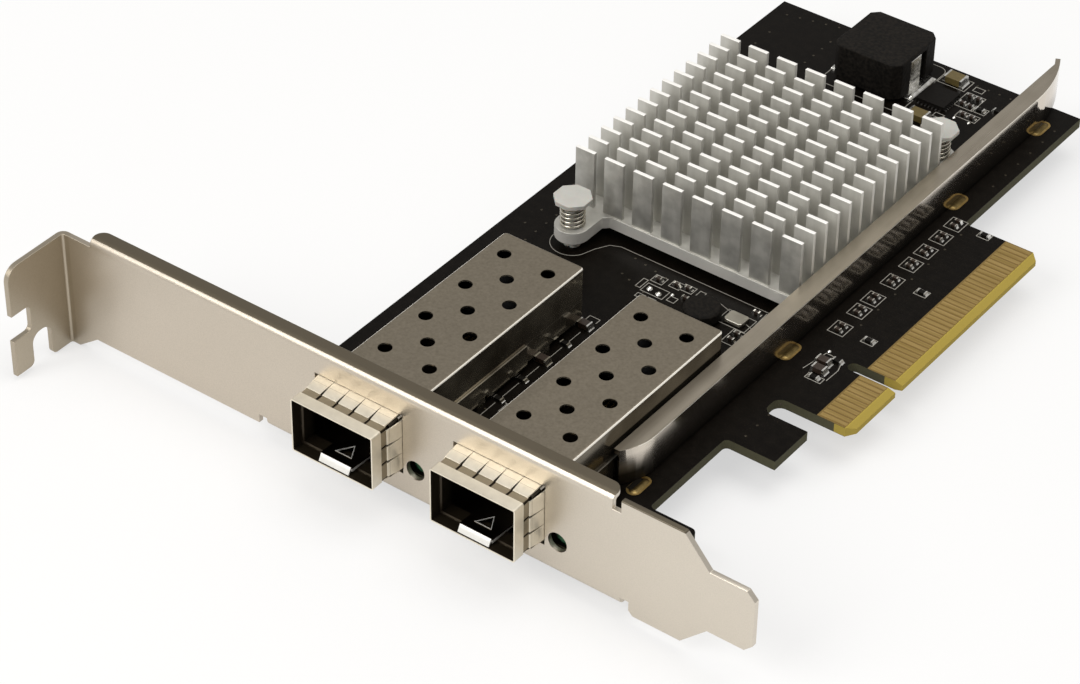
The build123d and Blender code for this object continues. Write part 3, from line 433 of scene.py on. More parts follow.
def cap_and_fillet(width, height, cap, toe):
    """A cap on a part's end and the solder in front of it, whose height falls as (1 - u) squared over the toe."""
    u = np.linspace(0, 1, 5)
    fall = np.column_stack((u * toe, 0.03 + (height - 0.03) * (1 - u) ** 2))
    side = np.vstack(([(-cap, 0.0), (-cap, height)], fall, [(toe, 0.0)]))
    return laid(plate([side], -width / 2, width / 2), (0, 0, 0), (1, 0, 0), (0, 0, 1), (0, -1, 0))


tin = Finish("tinned", (0.80, 0.79, 0.76), Metallic=1.0, Roughness=0.2)
ripple = tin.noise(1500, 2)
tin.feed("Base Color", tin.blend(ripple.ramp(0.35, 0.65), (0.62, 0.61, 0.57), (0.90, 0.89, 0.86)))
tin.feed("Roughness", 0.14 + ripple * 0.18)
tin.relief(ripple, depth=0.00002, strength=0.4)
# Each size: the length along X, the width along Y and the height of a part.
small, medium, large, flat = (1.0, 0.5, 0.5), (2.0, 1.25, 0.9), (3.2, 2.2, 1.2), (1.4, 0.75, 0.4)
ended_parts = (
    (small, [(-13.95, row + side) for row in coupling_rows for side in (-0.65, 0.65)]),
    (small, [
        (-29.9, 66.2), (-28.4, 66.2), (-29.9, 68.6), (-28.4, 68.6), (-28.2, 63.6), (-26.6, 63.6), (-25.4, 1.8),
        (-24.9, -4.0), (-24.9, -5.6), (-36.6, 0.6), (-38.4, 0.3), (-41.3, -0.2), (-35.6, -1.6), (-36.6, -6.5),
    ]),
    (medium, [(-11.0, -3.8), (-11.5, -1.9), (-43.4, -15.8), (-43.4, -25.9)]),
    (large, [(-34.0, 70.8), (-33.4, 58.6)]),
    (flat, [
        (-9.05, 6.3), (-9.05, 20.6), (-9.05, 38.3), (-10.8, -5.5), (-10.1, -0.4), (-24.3, 67.6), (-26.7, 66.2),
        (-43.2, -36.5), (-43.2, -31.0), (-43.2, -20.8), (-39.0, -6.4),
    ]),
)
caps = []
for (length, width, height), places in ended_parts:
    spread = 0.06 * length
    end = cap_and_fillet(width + 0.06, height + 0.02, cap=0.14 + spread, toe=0.22 + spread)
    flipped = laid(end, (0, 0, 0), (-1, 0, 0), (0, -1, 0), (0, 0, 1))
    for side, shape in ((1, end), (-1, flipped)):
        caps.append(repeated(shape, [(at[0] + side * (length / 2 + 0.01), at[1], 0) for at in places]))
piece("solder_ends", joined(*caps), tin, "tinned", "chip_ends")


# The bodies of the small parts are fired ceramic blocks, brown for the small capacitors and tan for the
# bulk ones, and black for the resistors. Their sawn edges are barely eased.
def eased(node, finish, edge, crease=35, steps=2, shape=None):
    """A merged copy of a CAD node stands for it, with its sharp edges eased. shape may first move its corners,
    which it gets and gives back as one array."""
    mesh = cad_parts[node].data.copy()
    mesh.name = node + "_formed"
    work = bmesh.new()
    work.from_mesh(mesh)
    bmesh.ops.remove_doubles(work, verts=work.verts, dist=1e-7)
    bmesh.ops.dissolve_limit(work, angle_limit=np.radians(0.5), verts=work.verts, edges=work.edges)
    work.to_mesh(mesh)
    work.free()
    if shape:
        corners = np.empty(len(mesh.vertices) * 3, np.float32)
        mesh.vertices.foreach_get("co", corners)
        mesh.vertices.foreach_set("co", shape(corners.reshape(-1, 3)).ravel())
    mesh.materials.clear()
    dressed(mesh, finish, [node], crease, edge, steps)


brown = Finish("brown_ceramic", (0.07, 0.042, 0.026), Roughness=0.45)
brown.feed("Base Color", brown.blend(brown.noise(3000), (0.013, 0.008, 0.005), (0.042, 0.025, 0.016)))
tan = Finish("tan_ceramic", (0.20, 0.15, 0.06), Roughness=0.45)
tan.feed("Base Color", tan.blend(tan.noise(1600), (0.085, 0.062, 0.018), (0.165, 0.122, 0.040)))
epoxy = Finish("moulded_epoxy", (0.006, 0.005, 0.004), Roughness=0.55, Specular_IOR_Level=0.10)
flow = epoxy.noise(2200, 4)
epoxy.feed("Base Color", epoxy.blend(flow, (0.003, 0.0025, 0.002), (0.010, 0.0085, 0.007)))
epoxy.relief(flow, depth=0.00002, strength=0.6)
sawn_edge = 0.00004
for node in ("coupling_capacitors", "small_capacitors", "under_capacitors"):
    eased(node, brown, sawn_edge)
eased("bulk_capacitors", tan, 2 * sawn_edge)
for node in ("regulator_chip", "memory_chip", "chip_resistors", "controller_chip"):
    eased(node, epoxy, sawn_edge)
for node in ("memory_leads", "inductor_terminals"):
    eased(node, tin, sawn_edge)
gap_pad = Finish("soft_pad", (0.16, 0.16, 0.17), Roughness=0.85)
gap_pad.feed("Base Color", gap_pad.blend(gap_pad.noise(1200), (0.12, 0.12, 0.13), (0.21, 0.21, 0.22)))
coat(gap_pad, "thermal_pad")

# The regulator has no leads. Its pads lie under its body, are soldered flat to the board, and show as short
# tinned strips along two of its sides.
pad = plate([outline(-0.22, -0.12, 0.22, 0.12)], 0.0, 0.1)
pad_across = laid(pad, (0, 0, 0), (0, 1, 0), (-1, 0, 0), (0, 0, 1))
pads = joined(
    repeated(pad, [(-30.98, 62.9 + 0.57 * i, 0) for i in range(8)]),
    repeated(pad_across, [(-35.6 + 0.65 * i, 62.3, 0) for i in range(7)]),
)
piece("regulator_pads", pads, tin, "tinned")

# The crystal is sealed in a small pressed metal can, whose lid is welded round its edge and whose pads are
# soldered to the board from below.
can = Finish("pressed_can", (0.62, 0.60, 0.54), Metallic=1.0, Roughness=0.32)
can.feed("Base Color", can.blend(can.noise(600), (0.42, 0.40, 0.35), (0.54, 0.52, 0.46)))
eased("crystal", can, edge=0.00018, steps=3)

# The power choke is pressed iron powder with a rough coat. A flat tinned terminal stands in a recess on
# either side and is soldered to the board.
powder = Finish("pressed_powder", (0.008, 0.008, 0.008), Roughness=0.7, Specular_IOR_Level=0.13)
pits = powder.noise(1900, 5)
powder.feed("Base Color", powder.blend(pits.ramp(0.35, 0.7), (0.003, 0.0025, 0.002), (0.015, 0.0125, 0.010)))
powder.feed("Roughness", 0.5 + pits * 0.4)
powder.relief(pits, depth=0.00010, strength=0.9)
eased("power_choke", powder, edge=0.00025, steps=3)
eased("round_inductor", powder, edge=0.00012)
eased("choke_terminals", tin, edge=0.0001)


def mound(length, width, height, rows=6, turns=20):
    """A low mound of solder over an oval of that length and width. At a share u of the way from its middle
    line to its rim, the height is height (1 - u squared)."""
    straight = max(length - width, 0.0) / 2
    turn = (np.arange(turns)[None] + 0.5) * 2 * np.pi / turns
    u = np.linspace(1, 0, rows)[:, None]
    sideways = u * width / 2 * np.cos(turn)
    lengthways = u * width / 2 * np.sin(turn) + np.sign(np.sin(turn)) * straight
    points = np.stack((sideways, lengthways, height * (1 - u**2) + 0 * turn), -1)
    corners, faces = woven(points, around=True)
    rim, crown = np.arange(turns), np.arange(turns) + len(corners) - turns
    return corners, faces + [np.array([rim[::-1]]), np.array([crown])]


# Solder stands in mounds at the choke's terminals and the round inductor's pads, and in small ones on a few
# bare pads.
blobs = joined(
    repeated(mound(7.6, 1.5, 0.7), [(-37.15, 65.45, 0), (-51.05, 65.45, 0)]),
    repeated(mound(1.0, 1.0, 0.35), [(-39.4, -3.0, 0), (-41.2, -2.7, 0), (-31.3, -0.2, 0), (-31.3, -7.0, 0)]),
    repeated(
        mound(0.6, 0.6, 0.2),
        [(-29.0, 62.2, 0), (-26.4, 62.3, 0), (-37.7, -1.9, 0), (-26.1, -6.4, 0), (-12.3, 0.9, 0)],
    ),
)
piece("solder_mounds", blobs, tin, "tinned")


# Four plated slots take the stiffener bar's tabs. Each has an oval gold rim on both sides of the board, which
# on the component side reaches further out in front of the bar, and is filled with solder round its tab.
def oval(length, width, steps=10):
    """A closed oval of two half circles with straight sides along Y."""
    turn = np.linspace(0, np.pi, steps)
    arc = np.column_stack((width / 2 * np.cos(turn), width / 2 * np.sin(turn) + (length - width) / 2))
    return np.vstack((arc, -arc))


slot_rows = (-39.6, -2.6, 43.1, 67.7)
slots_above, slots_below = [[(column, row, 0) for row in slot_rows] for column in (-16.8, -17.4)]
turned_over = ((1, 0, 0), (0, -1, 0), (0, 0, -1))
rim = plate([oval(4.5, 2.2), oval(3.8, 1.5)[::-1]], 0.0, 0.05)
fill = mound(3.8, 1.55, 0.16)
rim_below, fill_below = [laid(part, (0, 0, -thickness), *turned_over) for part in (rim, fill)]
rims = joined(repeated(rim, slots_above), repeated(rim_below, slots_below))
fills = joined(repeated(fill, slots_above), repeated(fill_below, slots_below))
piece("slot_rims", rims, gold, "gold_plate", "slot_pads")
bronze = Finish("slot_solder", (0.50, 0.38, 0.20), Metallic=1.0, Roughness=0.3)
bronze.feed("Base Color", bronze.blend(bronze.noise(1500), (0.07, 0.048, 0.016), (0.34, 0.25, 0.10)))
piece("slot_solder", fills, bronze, "tinned")


# The stiffener bar is an angle bent from bright rolled sheet. Its upright face is almost a mirror, and its
# top face has the fine lines of rolling. Its tabs stand in the plated slots.
def trimmed(corners):
    """Corners at the far end are held just inside the card's length, so that their easing stays within it."""
    corners[:, 1] = np.minimum(corners[:, 1], 0.07815)
    return corners


rolled = Finish("rolled_sheet", (0.50, 0.46, 0.39), Roughness=0.14)
x, y, z = rolled.xyz()
lines = rolled.noise(1500, 3, stretch=(1, 0.05, 1))
topside = z > 0.00618
worn_top = rolled.blend(lines, (0.36, 0.315, 0.25), (0.48, 0.43, 0.35))
worn_top = rolled.blend(rolled.noise(130, 3).ramp(0.35, 0.7) * 0.5, worn_top, (0.58, 0.52, 0.43))
# Painted reflection: the upright face is bright above and dark at its foot, as a mirror of the bright room over the
# dark board.
upright_reflection = rolled.blend(1 - z.ramp(0.0, 0.0035), (0.66, 0.60, 0.52), (0.14, 0.12, 0.095))
# The upright face gets painted shade at its foot near the bracket, and its far third is the brightest.
shaded_foot = (-0.0350 - y).ramp(0.0, 0.0030) * (1 - z.ramp(0.0018, 0.0052))
upright_reflection = rolled.blend(shaded_foot, upright_reflection, (0.03, 0.026, 0.020))
# A painted highlight runs along the bend between the top and the upright face.
bend_highlight = z.between(0.00603, 0.00620) * (x > -0.0176)
rolled.feed("Base Color", rolled.blend(bend_highlight, rolled.blend(topside, upright_reflection, worn_top), (0.93, 0.88, 0.78)))
rolled.feed("Metallic", 1.0 - bend_highlight * 0.6)
dulled = (0.045 - y).ramp(0.0, 0.015) * 0.09
rolled.feed("Roughness", 0.07 + dulled + lines * 0.05 + topside * 0.18 + shaded_foot * 0.3)
rolled.relief(lines, depth=0.000008, strength=0.5)
eased("stiffener_bar", rolled, edge=0.00014, steps=3, shape=trimmed)


# The heatsink is a bare aluminium extrusion, cross-cut into flat pins. The saw leaves their tops bright, with
# a painted highlight added, and their edges sharp, and extruding leaves upright streaks on their faces.
def block(width, depth, low, high, corner, lip):
    """An upright bar of rounded section whose top edge is eased: rows of the same outline, the last two drawn
    in by a part of the lip and raised by the rest."""
    ends = np.array((width / 2, depth / 2))
    rows = []
    for inset, at in ((0, low), (0, high - lip), (0.35 * lip, high - 0.3 * lip), (lip, high)):
        a, b = ends - inset
        loop = rounded(outline(-a, -b, a, b), max(corner - inset, 0.02), 2)
        rows.append(np.column_stack((loop, np.full(len(loop), at))))
    corners, faces = woven(np.stack(rows), around=True)
    foot = np.arange(len(rows[0]))
    return corners, faces + [np.array([foot[::-1]]), np.array([foot + 3 * len(foot)])]


aluminium = Finish("bare_aluminium", (0.84, 0.84, 0.83), Metallic=0.75, Roughness=0.42)
x, y, z = aluminium.xyz()
streaks = aluminium.noise(700, 3, stretch=(1, 1, 0.08))
stain = aluminium.noise(420, 3)
# The pin tops are partly sawn bright and partly painted highlight.
sawn_top_highlight = z.ramp(0.01321, 0.01325)
skin_and_painted_light = aluminium.blend(streaks.ramp(0.3, 0.7), (0.56, 0.55, 0.51), (0.67, 0.66, 0.615))
skin_and_painted_light = aluminium.blend(stain.ramp(0.4, 0.7) * 0.4, skin_and_painted_light, (0.46, 0.45, 0.415))
# Painted shade darkens the front row of pins above the base, mottled by the stain.
shaded_front_row = (y < 0.0052) * (z > 0.00356) * (0.10 + stain * 0.58)
skin_and_painted_light = aluminium.blend(shaded_front_row, skin_and_painted_light, (0.13, 0.127, 0.115))
# Painted light brightens the front side of the base.
skin_and_painted_light = aluminium.blend((y < 0.0042) * (z < 0.0034) * 0.9, skin_and_painted_light, (0.95, 0.93, 0.88))
aluminium.feed("Base Color", aluminium.blend(sawn_top_highlight, skin_and_painted_light, (0.95, 0.94, 0.91)))
aluminium.feed("Roughness", 0.36 + streaks * 0.16)
aluminium.feed("Metallic", 0.58 - sawn_top_highlight * 0.4)
aluminium.relief(streaks, depth=0.00001, strength=0.5)
sink, push_offset = np.array((-40.15, 23.58)), np.array((16.75, 24.03))
turn = np.linspace(np.pi, 2 * np.pi, 14)
ear = 2.75 * np.column_stack((np.cos(turn), np.sin(turn))) - push_offset
near_half = np.vstack(([(-19.95, 19.5), (-19.95, -19.5), (-19.5, -19.5)], ear, [(-14.0, -20.3), (-13.2, -19.5)]))
turn = np.linspace(0, 2 * np.pi, 24, endpoint=False)
ear_hole = 1.5 * np.column_stack((np.cos(turn), -np.sin(turn)))
base_loops = (np.vstack((near_half, -near_half)), ear_hole - push_offset, ear_hole + push_offset)
base_low, base_top = 1.5, 3.5
base = plate([loop + sink for loop in base_loops], base_low, base_top)
piece("heatsink_base", base, aluminium, "bare_aluminium", "heatsink", edge=0.00010)
pin_x, pin_y = np.meshgrid(sink[0] + np.linspace(-18.25, 18.25, 8), sink[1] + np.linspace(-18.85, 18.85, 13))
pin_places = np.column_stack((pin_x.ravel(), pin_y.ravel(), np.zeros(pin_x.size)))
pin = block(width=3.4, depth=0.62, low=base_top - 0.05, high=13.3, corner=0.05, lip=0.04)
pins = repeated(pin, pin_places)
piece("heatsink_pins", pins, aluminium, "bare_aluminium", "heatsink", crease=50)

# Push pins of natural nylon hold the heatsink. Their eight-sided heads are flat moulded plates with
# softened edges, and their split barbs snap out below the board.
nylon = Finish("natural_nylon", (0.56, 0.56, 0.55), Roughness=0.5, Subsurface_Weight=0.15, Subsurface_Scale=0.0008)
nylon.feed("Base Color", nylon.blend(nylon.noise(500), (0.43, 0.425, 0.39), (0.54, 0.535, 0.50)))
nylon.relief(nylon.noise(1500), depth=0.00002, strength=0.4)
eased("push_pins", nylon, edge=0.00016, crease=50, steps=3)


# Under each pin's head a spring of drawn steel wire is wound round the pin and presses the heatsink on its
# chip. The last half turn at both ends is closed flat.
def coil(radius, wire, low, high, turns, per_turn=28, sides=8):
    """A tube along a helix. Its middle line is (R cos a, R sin a, h), where h stays level over the first and
    the last half turn and climbs evenly between, and a circle of the wire's radius is carried along it."""
    a = np.linspace(0, 2 * np.pi * turns, per_turn * turns + 1)
    climb = np.clip((a / (2 * np.pi) - 0.5) / (turns - 1), 0, 1)
    path = np.column_stack((radius * np.cos(a), radius * np.sin(a), low + (high - low) * climb))
    ahead = np.gradient(path, axis=0)
    ahead /= np.linalg.norm(ahead, axis=1, keepdims=True)
    out = np.column_stack((np.cos(a), np.sin(a), 0 * a))
    upward = np.cross(ahead, out)
    b = np.linspace(0, 2 * np.pi, sides, endpoint=False)[None, :, None]
    points = path[:, None] + wire / 2 * (np.cos(b) * out[:, None] + np.sin(b) * upward[:, None])
    corners, faces = woven(points, around=True)
    ends = np.arange(sides)
    return corners, faces + [np.array([ends[::-1]]), np.array([ends + len(corners) - sides])]


wire = Finish("spring_wire", (0.62, 0.58, 0.50), Metallic=1.0, Roughness=0.16)
wire.feed("Base Color", wire.blend(wire.noise(1800), (0.50, 0.46, 0.38), (0.74, 0.71, 0.63)))
spring = coil(radius=1.76, wire=0.40, low=3.74, high=7.47, turns=6)
springs = repeated(spring, [(*(sink + way * push_offset), 0) for way in (-1, 1)])
piece("coil_springs", springs, wire, "spring_steel", "pin_springs", crease=60)

# Host connectors are black moulded blocks inside the cages, and lamp holders stand beside the cages with a
# domed green lens that looks out through the bracket.
black = Finish("moulded_plastic", (0.010, 0.010, 0.010), Roughness=0.5, Specular_IOR_Level=0.3)
black.feed("Roughness", 0.42 + black.noise(1200) * 0.25)
green = Finish("green_lens", (0.02, 0.09, 0.045), Roughness=0.15, Coat_Weight=0.4)
green.feed("Base Color", green.blend(green.noise(700), (0.012, 0.06, 0.03), (0.035, 0.14, 0.07)))
t = np.linspace(0, np.pi / 2, 8)
lens_radius, lens_back, lens_rim = 1.4, -54.9, -55.3
bulge = np.column_stack((lens_radius * np.cos(t), lens_rim - 0.6 * np.sin(t)))
dome = revolved(np.vstack(([(0, lens_back), (lens_radius, lens_back)], bulge)))
lens_aside, lens_level = 9.75, 1.65
ports = (("left", -51.35), ("right", -27.35))
for side, centre in ports:
    eased(side + "_host_connector", black, edge=0.0001)
    eased(side + "_lamp_holder", black, edge=0.0001)
    bulb = laid(dome, (centre + lens_aside, 0, lens_level), (1, 0, 0), (0, 0, 1), (0, 1, 0))
    piece(side + "_lens_dome", bulb, green, "green_lens", side + "_lamp_lens")


# Each cage is folded from thin tinned sheet: a cover with round vents, whose plain top has dulled and whose
# sides stay bright, over a base with side flaps and a latch tongue that is cut free at the mouth.
def curved(points, radius):
    """An open line through flat points whose inner corners are arcs, as in a closed outline."""
    bends = rounded(points, radius, 4).reshape(len(points), -1, 2)[1:-1].reshape(-1, 2)
    return np.vstack((points[:1], bends, points[-1:]))


def beside_port(x):
    """How far sideways a point lies from the middle of the nearer port."""
    return abs(abs(x + 0.03935) - 0.012)


def thick(line, wall):
    """A closed section: a flat line, and the same line moved to its right by the wall, walked back."""
    way = np.gradient(line, axis=0)
    way /= np.linalg.norm(way, axis=1, keepdims=True)
    return np.vstack((line, (line + np.column_stack((way[:, 1], -way[:, 0])) * wall)[::-1]))


cage = Finish("cage_sheet", (0.34, 0.30, 0.24), Roughness=0.35)
x, y, z = cage.xyz()
speck = cage.noise(2400, 3)
cloud = cage.noise(120, 3)
roof = z.ramp(0.00962, 0.00972)
roof_tint = cage.blend(speck, (0.205, 0.175, 0.130), (0.34, 0.30, 0.235))
side_tone_and_shade = cage.blend(cloud.ramp(0.35, 0.65), (0.22, 0.19, 0.14), (0.62, 0.56, 0.44))
# Painted highlights: a bright line along the roof's side bends, and a fainter one along the flaps' top edges.
roof_bend_highlight = z.between(0.00950, 0.00973) * (beside_port(x) > 0.00676)
lit_edge = z.between(0.00426, 0.00434) * 0.2 + roof_bend_highlight
# The side next to the stiffener bar is darkened with painted shade.
side_tone_and_shade = cage.blend((x > -0.0206) * 0.8, side_tone_and_shade, (0.055, 0.045, 0.030))
tint = cage.blend(lit_edge, cage.blend(roof, side_tone_and_shade, roof_tint), (0.94, 0.90, 0.82))
# Painted shade darkens the cover's front two millimetres, inside the collar's mouth.
cage.feed("Base Color", cage.blend(y < -0.0573, tint, (0.02, 0.016, 0.010)))
cage.feed("Roughness", 0.08 + cloud * 0.08 + roof * 0.27 + speck * 0.06)
cage.feed("Metallic", 0.9 + roof * 0.1 - lit_edge * 0.7)
cage.relief(speck * roof * 0.3 + cage.noise(170, 1) * (1 - roof), depth=0.00006, strength=0.3)
turn = np.linspace(0, 2 * np.pi, 28, endpoint=False)
vent = 1.06 * np.column_stack((np.cos(turn), -np.sin(turn)))
vents = [(side * 3.9, -46.5 + 9.05 * i) for i in range(4) for side in (-1, 1)]
vents += [(0, -41.975 + 9.05 * i) for i in range(3)]
half, front, rear, corner = 7.1, -59.3, -14.9, 0.6
roof_level, middle_level, foot_level, floor_level = 9.75, 5.0, 0.94, 0.9
sheet_wall, half_wall = 0.25, 0.125
plan_corners = [(-half, front), (-half, rear), (half, rear), (half, front)]
plan = rounded(plan_corners, (1e-4, corner, corner, 1e-4), 6)
inward = -np.sign(plan * (1, 0)) * np.clip(np.abs(plan) - (half - corner, 0), 0, None)
inward[:, 1] = -np.clip(plan[:, 1] - (rear - corner), 0, None)
inward /= np.linalg.norm(inward, axis=1, keepdims=True)
bend, bend_radius = np.linspace(0, np.pi / 2, 5), 0.28
inset = np.concatenate(([1.5 * bend_radius], bend_radius * (1 - np.sin(bend)), [0.0, 0.0]))
height = np.concatenate(([roof_level], roof_level - bend_radius * (1 - np.cos(bend)), [middle_level, foot_level]))
walls = np.concatenate(
    (plan[:, None] + inward[:, None] * inset[:, None], np.tile(height[:, None], (len(plan), 1, 1))), -1
)
roof_loops = [walls[:, 0, :2]] + [vent + at for at in vents]
roof_fill = np.array(tessellate_polygon([[Vector((*point, 0)) for point in loop] for loop in roof_loops]))
roof_points = np.concatenate(roof_loops)
shell = joined(woven(walls), (np.column_stack((roof_points, np.full(len(roof_points), roof_level))), [roof_fill]))
tail = plate([outline(-half_wall, -0.4, half_wall, 0.4)], -2.35, 0.1)
shoulder = plate([outline(-half_wall, -0.9, half_wall, 0.9)], 0.0, 1.1)
joint = laid(mound(1.7, 1.3, 0.6), (0, 0, -thickness), *turned_over)
# The cage's floor, its latch tongue and the inner side of its cover get this finish of painted shade: the tinned
# sheet painted dark.
inner = Finish("cage_inside_shade", (0.03, 0.024, 0.016), Metallic=1.0, Roughness=0.3)
shade = inner.noise(300, 3)
inner.feed("Base Color", inner.blend(shade, (0.035, 0.025, 0.014), (0.100, 0.080, 0.055)))
inner.feed("Roughness", 0.22 + shade * 0.2)
floor_half = np.array([
    (3.15, -48.85), (3.15, -59.3), (7.1, -59.3), (7.1, -53.2), (7.39, -53.2), (7.39, -50.1), (6.6, -50.1),
    (6.6, -47.9), (7.39, -47.9), (7.39, -40.1), (6.6, -40.1), (6.6, -37.9), (7.39, -37.9), (7.39, -30.0),
])
floor_outline = np.vstack((floor_half, (floor_half * (-1, 1))[::-1]))
cage_floor = plate([floor_outline], floor_level - sheet_wall, floor_level)
flap = plate([[
    (-53.2, 0.9), (-50.1, 0.9), (-50.1, 1.4), (-47.9, 1.4), (-47.9, 0.9), (-40.1, 0.9), (-40.1, 1.4), (-37.9, 1.4),
    (-37.9, 0.9), (-28.7, 0.9), (-28.7, 4.3), (-53.2, 4.3),
]], -half_wall, half_wall)
flap_aside = 7.265
flaps = joined(*[laid(flap, (way * flap_aside, 0, 0), (0, 1, 0), (0, 0, 1), (1, 0, 0)) for way in (-1, 1)])

# The latch tongue rises from its hinge in the floor to a nose at the mouth, where a lip turns down. Its sides
# are folded under, and the edges of its triangular catch stand up as a burr.
run, rise, hinge = 13.3, 1.05, (0, -48.85, floor_level)
tongue_length = np.hypot(run, rise)
along, upright = np.array((0, -run, rise)) / tongue_length, np.array((0, rise, run)) / tongue_length
slope = (hinge, along, (-1, 0, 0), upright)
catch = [(11.75, -1.35), (11.75, 1.35), (9.3, 0.0)]
tongue = laid(plate([outline(-0.3, -2.75, tongue_length, 2.75), catch[::-1]], -sheet_wall, 0.0), *slope)
burr = laid(stroke(catch, 0.11, -0.05, 0.06, closed=True), *slope)
fold = plate([[(6.5, -0.25), (13.3, -0.25), (13.2, -0.75), (9.0, -0.6)]], -0.1, 0.1)
folds = [laid(fold, (way * 2.65, *hinge[1:]), along, upright, (1, 0, 0)) for way in (-1, 1)]
lip_line = np.array([(-62.05, 1.94), (-62.2, 1.92), (-62.45, 1.55), (-62.78, 0.92)])
lip = plate([thick(curved(lip_line, (0.1, 0.15, 0.3, 0.1)), -0.22)], -2.6, 2.6)
lip = laid(lip, (0, 0, 0), (0, 1, 0), (0, 0, 1), (1, 0, 0))
# The latch lip, its folded sides and the catch's burr get a painted highlight.
edge_highlight = Finish("painted_edge_highlight", (0.90, 0.89, 0.85), Metallic=0.35, Roughness=0.3)
edge_highlight.feed("Roughness", 0.24 + edge_highlight.noise(900) * 0.2)
for side, centre in ports:
    here = [(centre, 0, 0)]
    spots = [(centre + way * (half - half_wall), row, 0) for way in (-1, 1) for row in (-49.0, -39.0, -24.0)]
    legs = joined(repeated(tail, spots), repeated(shoulder, spots))
    cover, below = side + "_cage_cover", side + "_cage_base"
    folded = {"crease": 40, "edge": 0.00003, "wall": sheet_wall / 1000, "lining": inner}
    piece(side + "_cage_shell", repeated(shell, here), cage, "cage_steel", cover, **folded)
    piece(side + "_cage_tails", legs, cage, "cage_steel", cover)
    piece(side + "_tail_solder", repeated(joint, spots), tin, "tinned")
    piece(side + "_cage_floor", repeated(cage_floor, here), inner, "cage_steel", below)
    piece(side + "_cage_flaps", repeated(flaps, here), cage, "cage_steel", below, edge=0.00003)
    piece(side + "_latch_tongue", repeated(tongue, here), inner, "cage_steel", below)
    piece(side + "_latch_lip", repeated(joined(lip, *folds), here), edge_highlight, "cage_steel", below)
    piece(side + "_catch_burr", repeated(burr, here), edge_highlight, "cage_steel", below)


# The shielding collar round each mouth is one thin springy stamping: a rim that turns back into the cage, a
# pressed groove, and fingers that bow out on all four sides to touch the bracket.
spring_sheet = Finish("collar_sheet", (0.66, 0.61, 0.50), Metallic=0.7, Roughness=0.36)
x, y, z = spring_sheet.xyz()
haze = spring_sheet.noise(900, 3)
across = beside_port(x)
# Painted shade: the groove band behind the rim, thin lines at the fingers' creases, and the inside of the mouth.
groove_shade = y.between(-0.06101, -0.05991)
under = 0.00068 - y.ramp(-0.0600, -0.0570) * 0.0005
inside = y.between(-0.06296, -0.0560) * (across < 0.00692) * (z > under) * (z < 0.00957)
roof_crease_shade = y.between(-0.05835, -0.05829) * (z > 0.0098)
side_crease_shade = y.between(-0.0595, -0.05943) * (across > 0.0072)
plated = spring_sheet.blend(haze, (0.72, 0.66, 0.54), (0.88, 0.82, 0.69))
# The groove and the creases get painted shade, and the mouth's inside is painted dark as shade.
plated = spring_sheet.blend(groove_shade * 0.9 + (roof_crease_shade + side_crease_shade) * 0.5, plated, (0.23, 0.185, 0.115))
spring_sheet.feed("Base Color", spring_sheet.blend(inside, plated, (0.040, 0.030, 0.018)))
spring_sheet.feed("Roughness", 0.30 + haze * 0.14)
finger_bends = np.array([
    (-61.2, -0.07), (-59.95, -0.07), (-59.88, 0.13), (-58.2, 0.38), (-57.1, 0.48), (-54.6, 0.24), (-53.6, 0.24),
])
finger_line = curved(finger_bends, (0.01, 0.03, 0.05, 0.3, 1.2, 1.2, 0.1))
spring_wall, finger_pitch = 0.2, 2.8
finger = plate([thick(finger_line, spring_wall)], -1.0, 1.0)
# The flat finger widens from its root towards the bracket.
finger[0][:, 2] *= np.interp(finger[0][:, 0], (-61.0, -59.4, -57.6), (1.20, 1.22, 1.38))
rim_line = np.array([(-63.0, 0.0), (-61.06, 0.0), (-61.0, -0.07), (-60.95, -0.30), (-59.0, -0.30)])
section = thick(rim_line, spring_wall)
half_width, half_height, mouth_corner = 7.1, 4.55, 0.35
mouth = rounded(outline(-half_width, -half_height, half_width, half_height), mouth_corner, 4)
straight = np.array((half_width, half_height)) - mouth_corner
outward = np.sign(mouth) * np.clip(np.abs(mouth) - straight, 0, None)
outward /= np.linalg.norm(outward, axis=1, keepdims=True)
ring = mouth[:, None] + outward[:, None] * section[:, 1:]
ring = np.stack((ring[..., 0], np.tile(section[:, 0], (len(mouth), 1)), ring[..., 1]), -1)
# Each side: its way out, its distance from the mouth's middle, and how many fingers its middle one has on
# either hand.
collar_sides = (
    ((0, 0, 1), half_height, 2), ((0, 0, -1), half_height, 2),
    ((1, 0, 0), half_width, 1), ((-1, 0, 0), half_width, 1),
)
fingers = []
for out, reach, most in collar_sides:
    beside = np.cross((0, 1, 0), out)
    for step in range(-most, most + 1):
        root = np.array(out) * reach + beside * finger_pitch * step
        fingers.append(laid(finger, root, (0, 1, 0), out, beside))
collar = joined(woven(ring, around=True, along=True), *fingers)
for side, centre in ports:
    stamping = repeated(collar, [(centre, 0, 5.2)])
    piece(side + "_collar_stamping", stamping, spring_sheet, "collar_steel", side + "_shield_collar", crease=30)


# The bracket is one steel sheet, punched and bent, with a satin nickel plate. Its openings press on the
# collars' fingers. Two pan-head screws hold the board on its lugs.
def fitted(corners):
    """Corners round each port's opening are drawn in towards its middle, to where the fingers stand."""
    within, share = (0.0081, 0.00556), (0.9442, 0.9185)
    for side, centre in ports:
        middle = np.array((centre / 1000, 0.0052))
        off = corners[:, (0, 2)] - middle
        around = (np.abs(off) < within).all(1)
        corners[:, (0, 2)] = np.where(around[:, None], off * share, off) + middle
    return corners


nickel = Finish("nickel_plate", (0.60, 0.56, 0.48), Metallic=1.0, Roughness=0.34)
x, y, z = nickel.xyz()
cloud = nickel.noise(45, 3)
sand = nickel.noise(5200, 2)
# Painted shade darkens the top ledge.
ledge_shade = (z > 0.01405) * 0.92
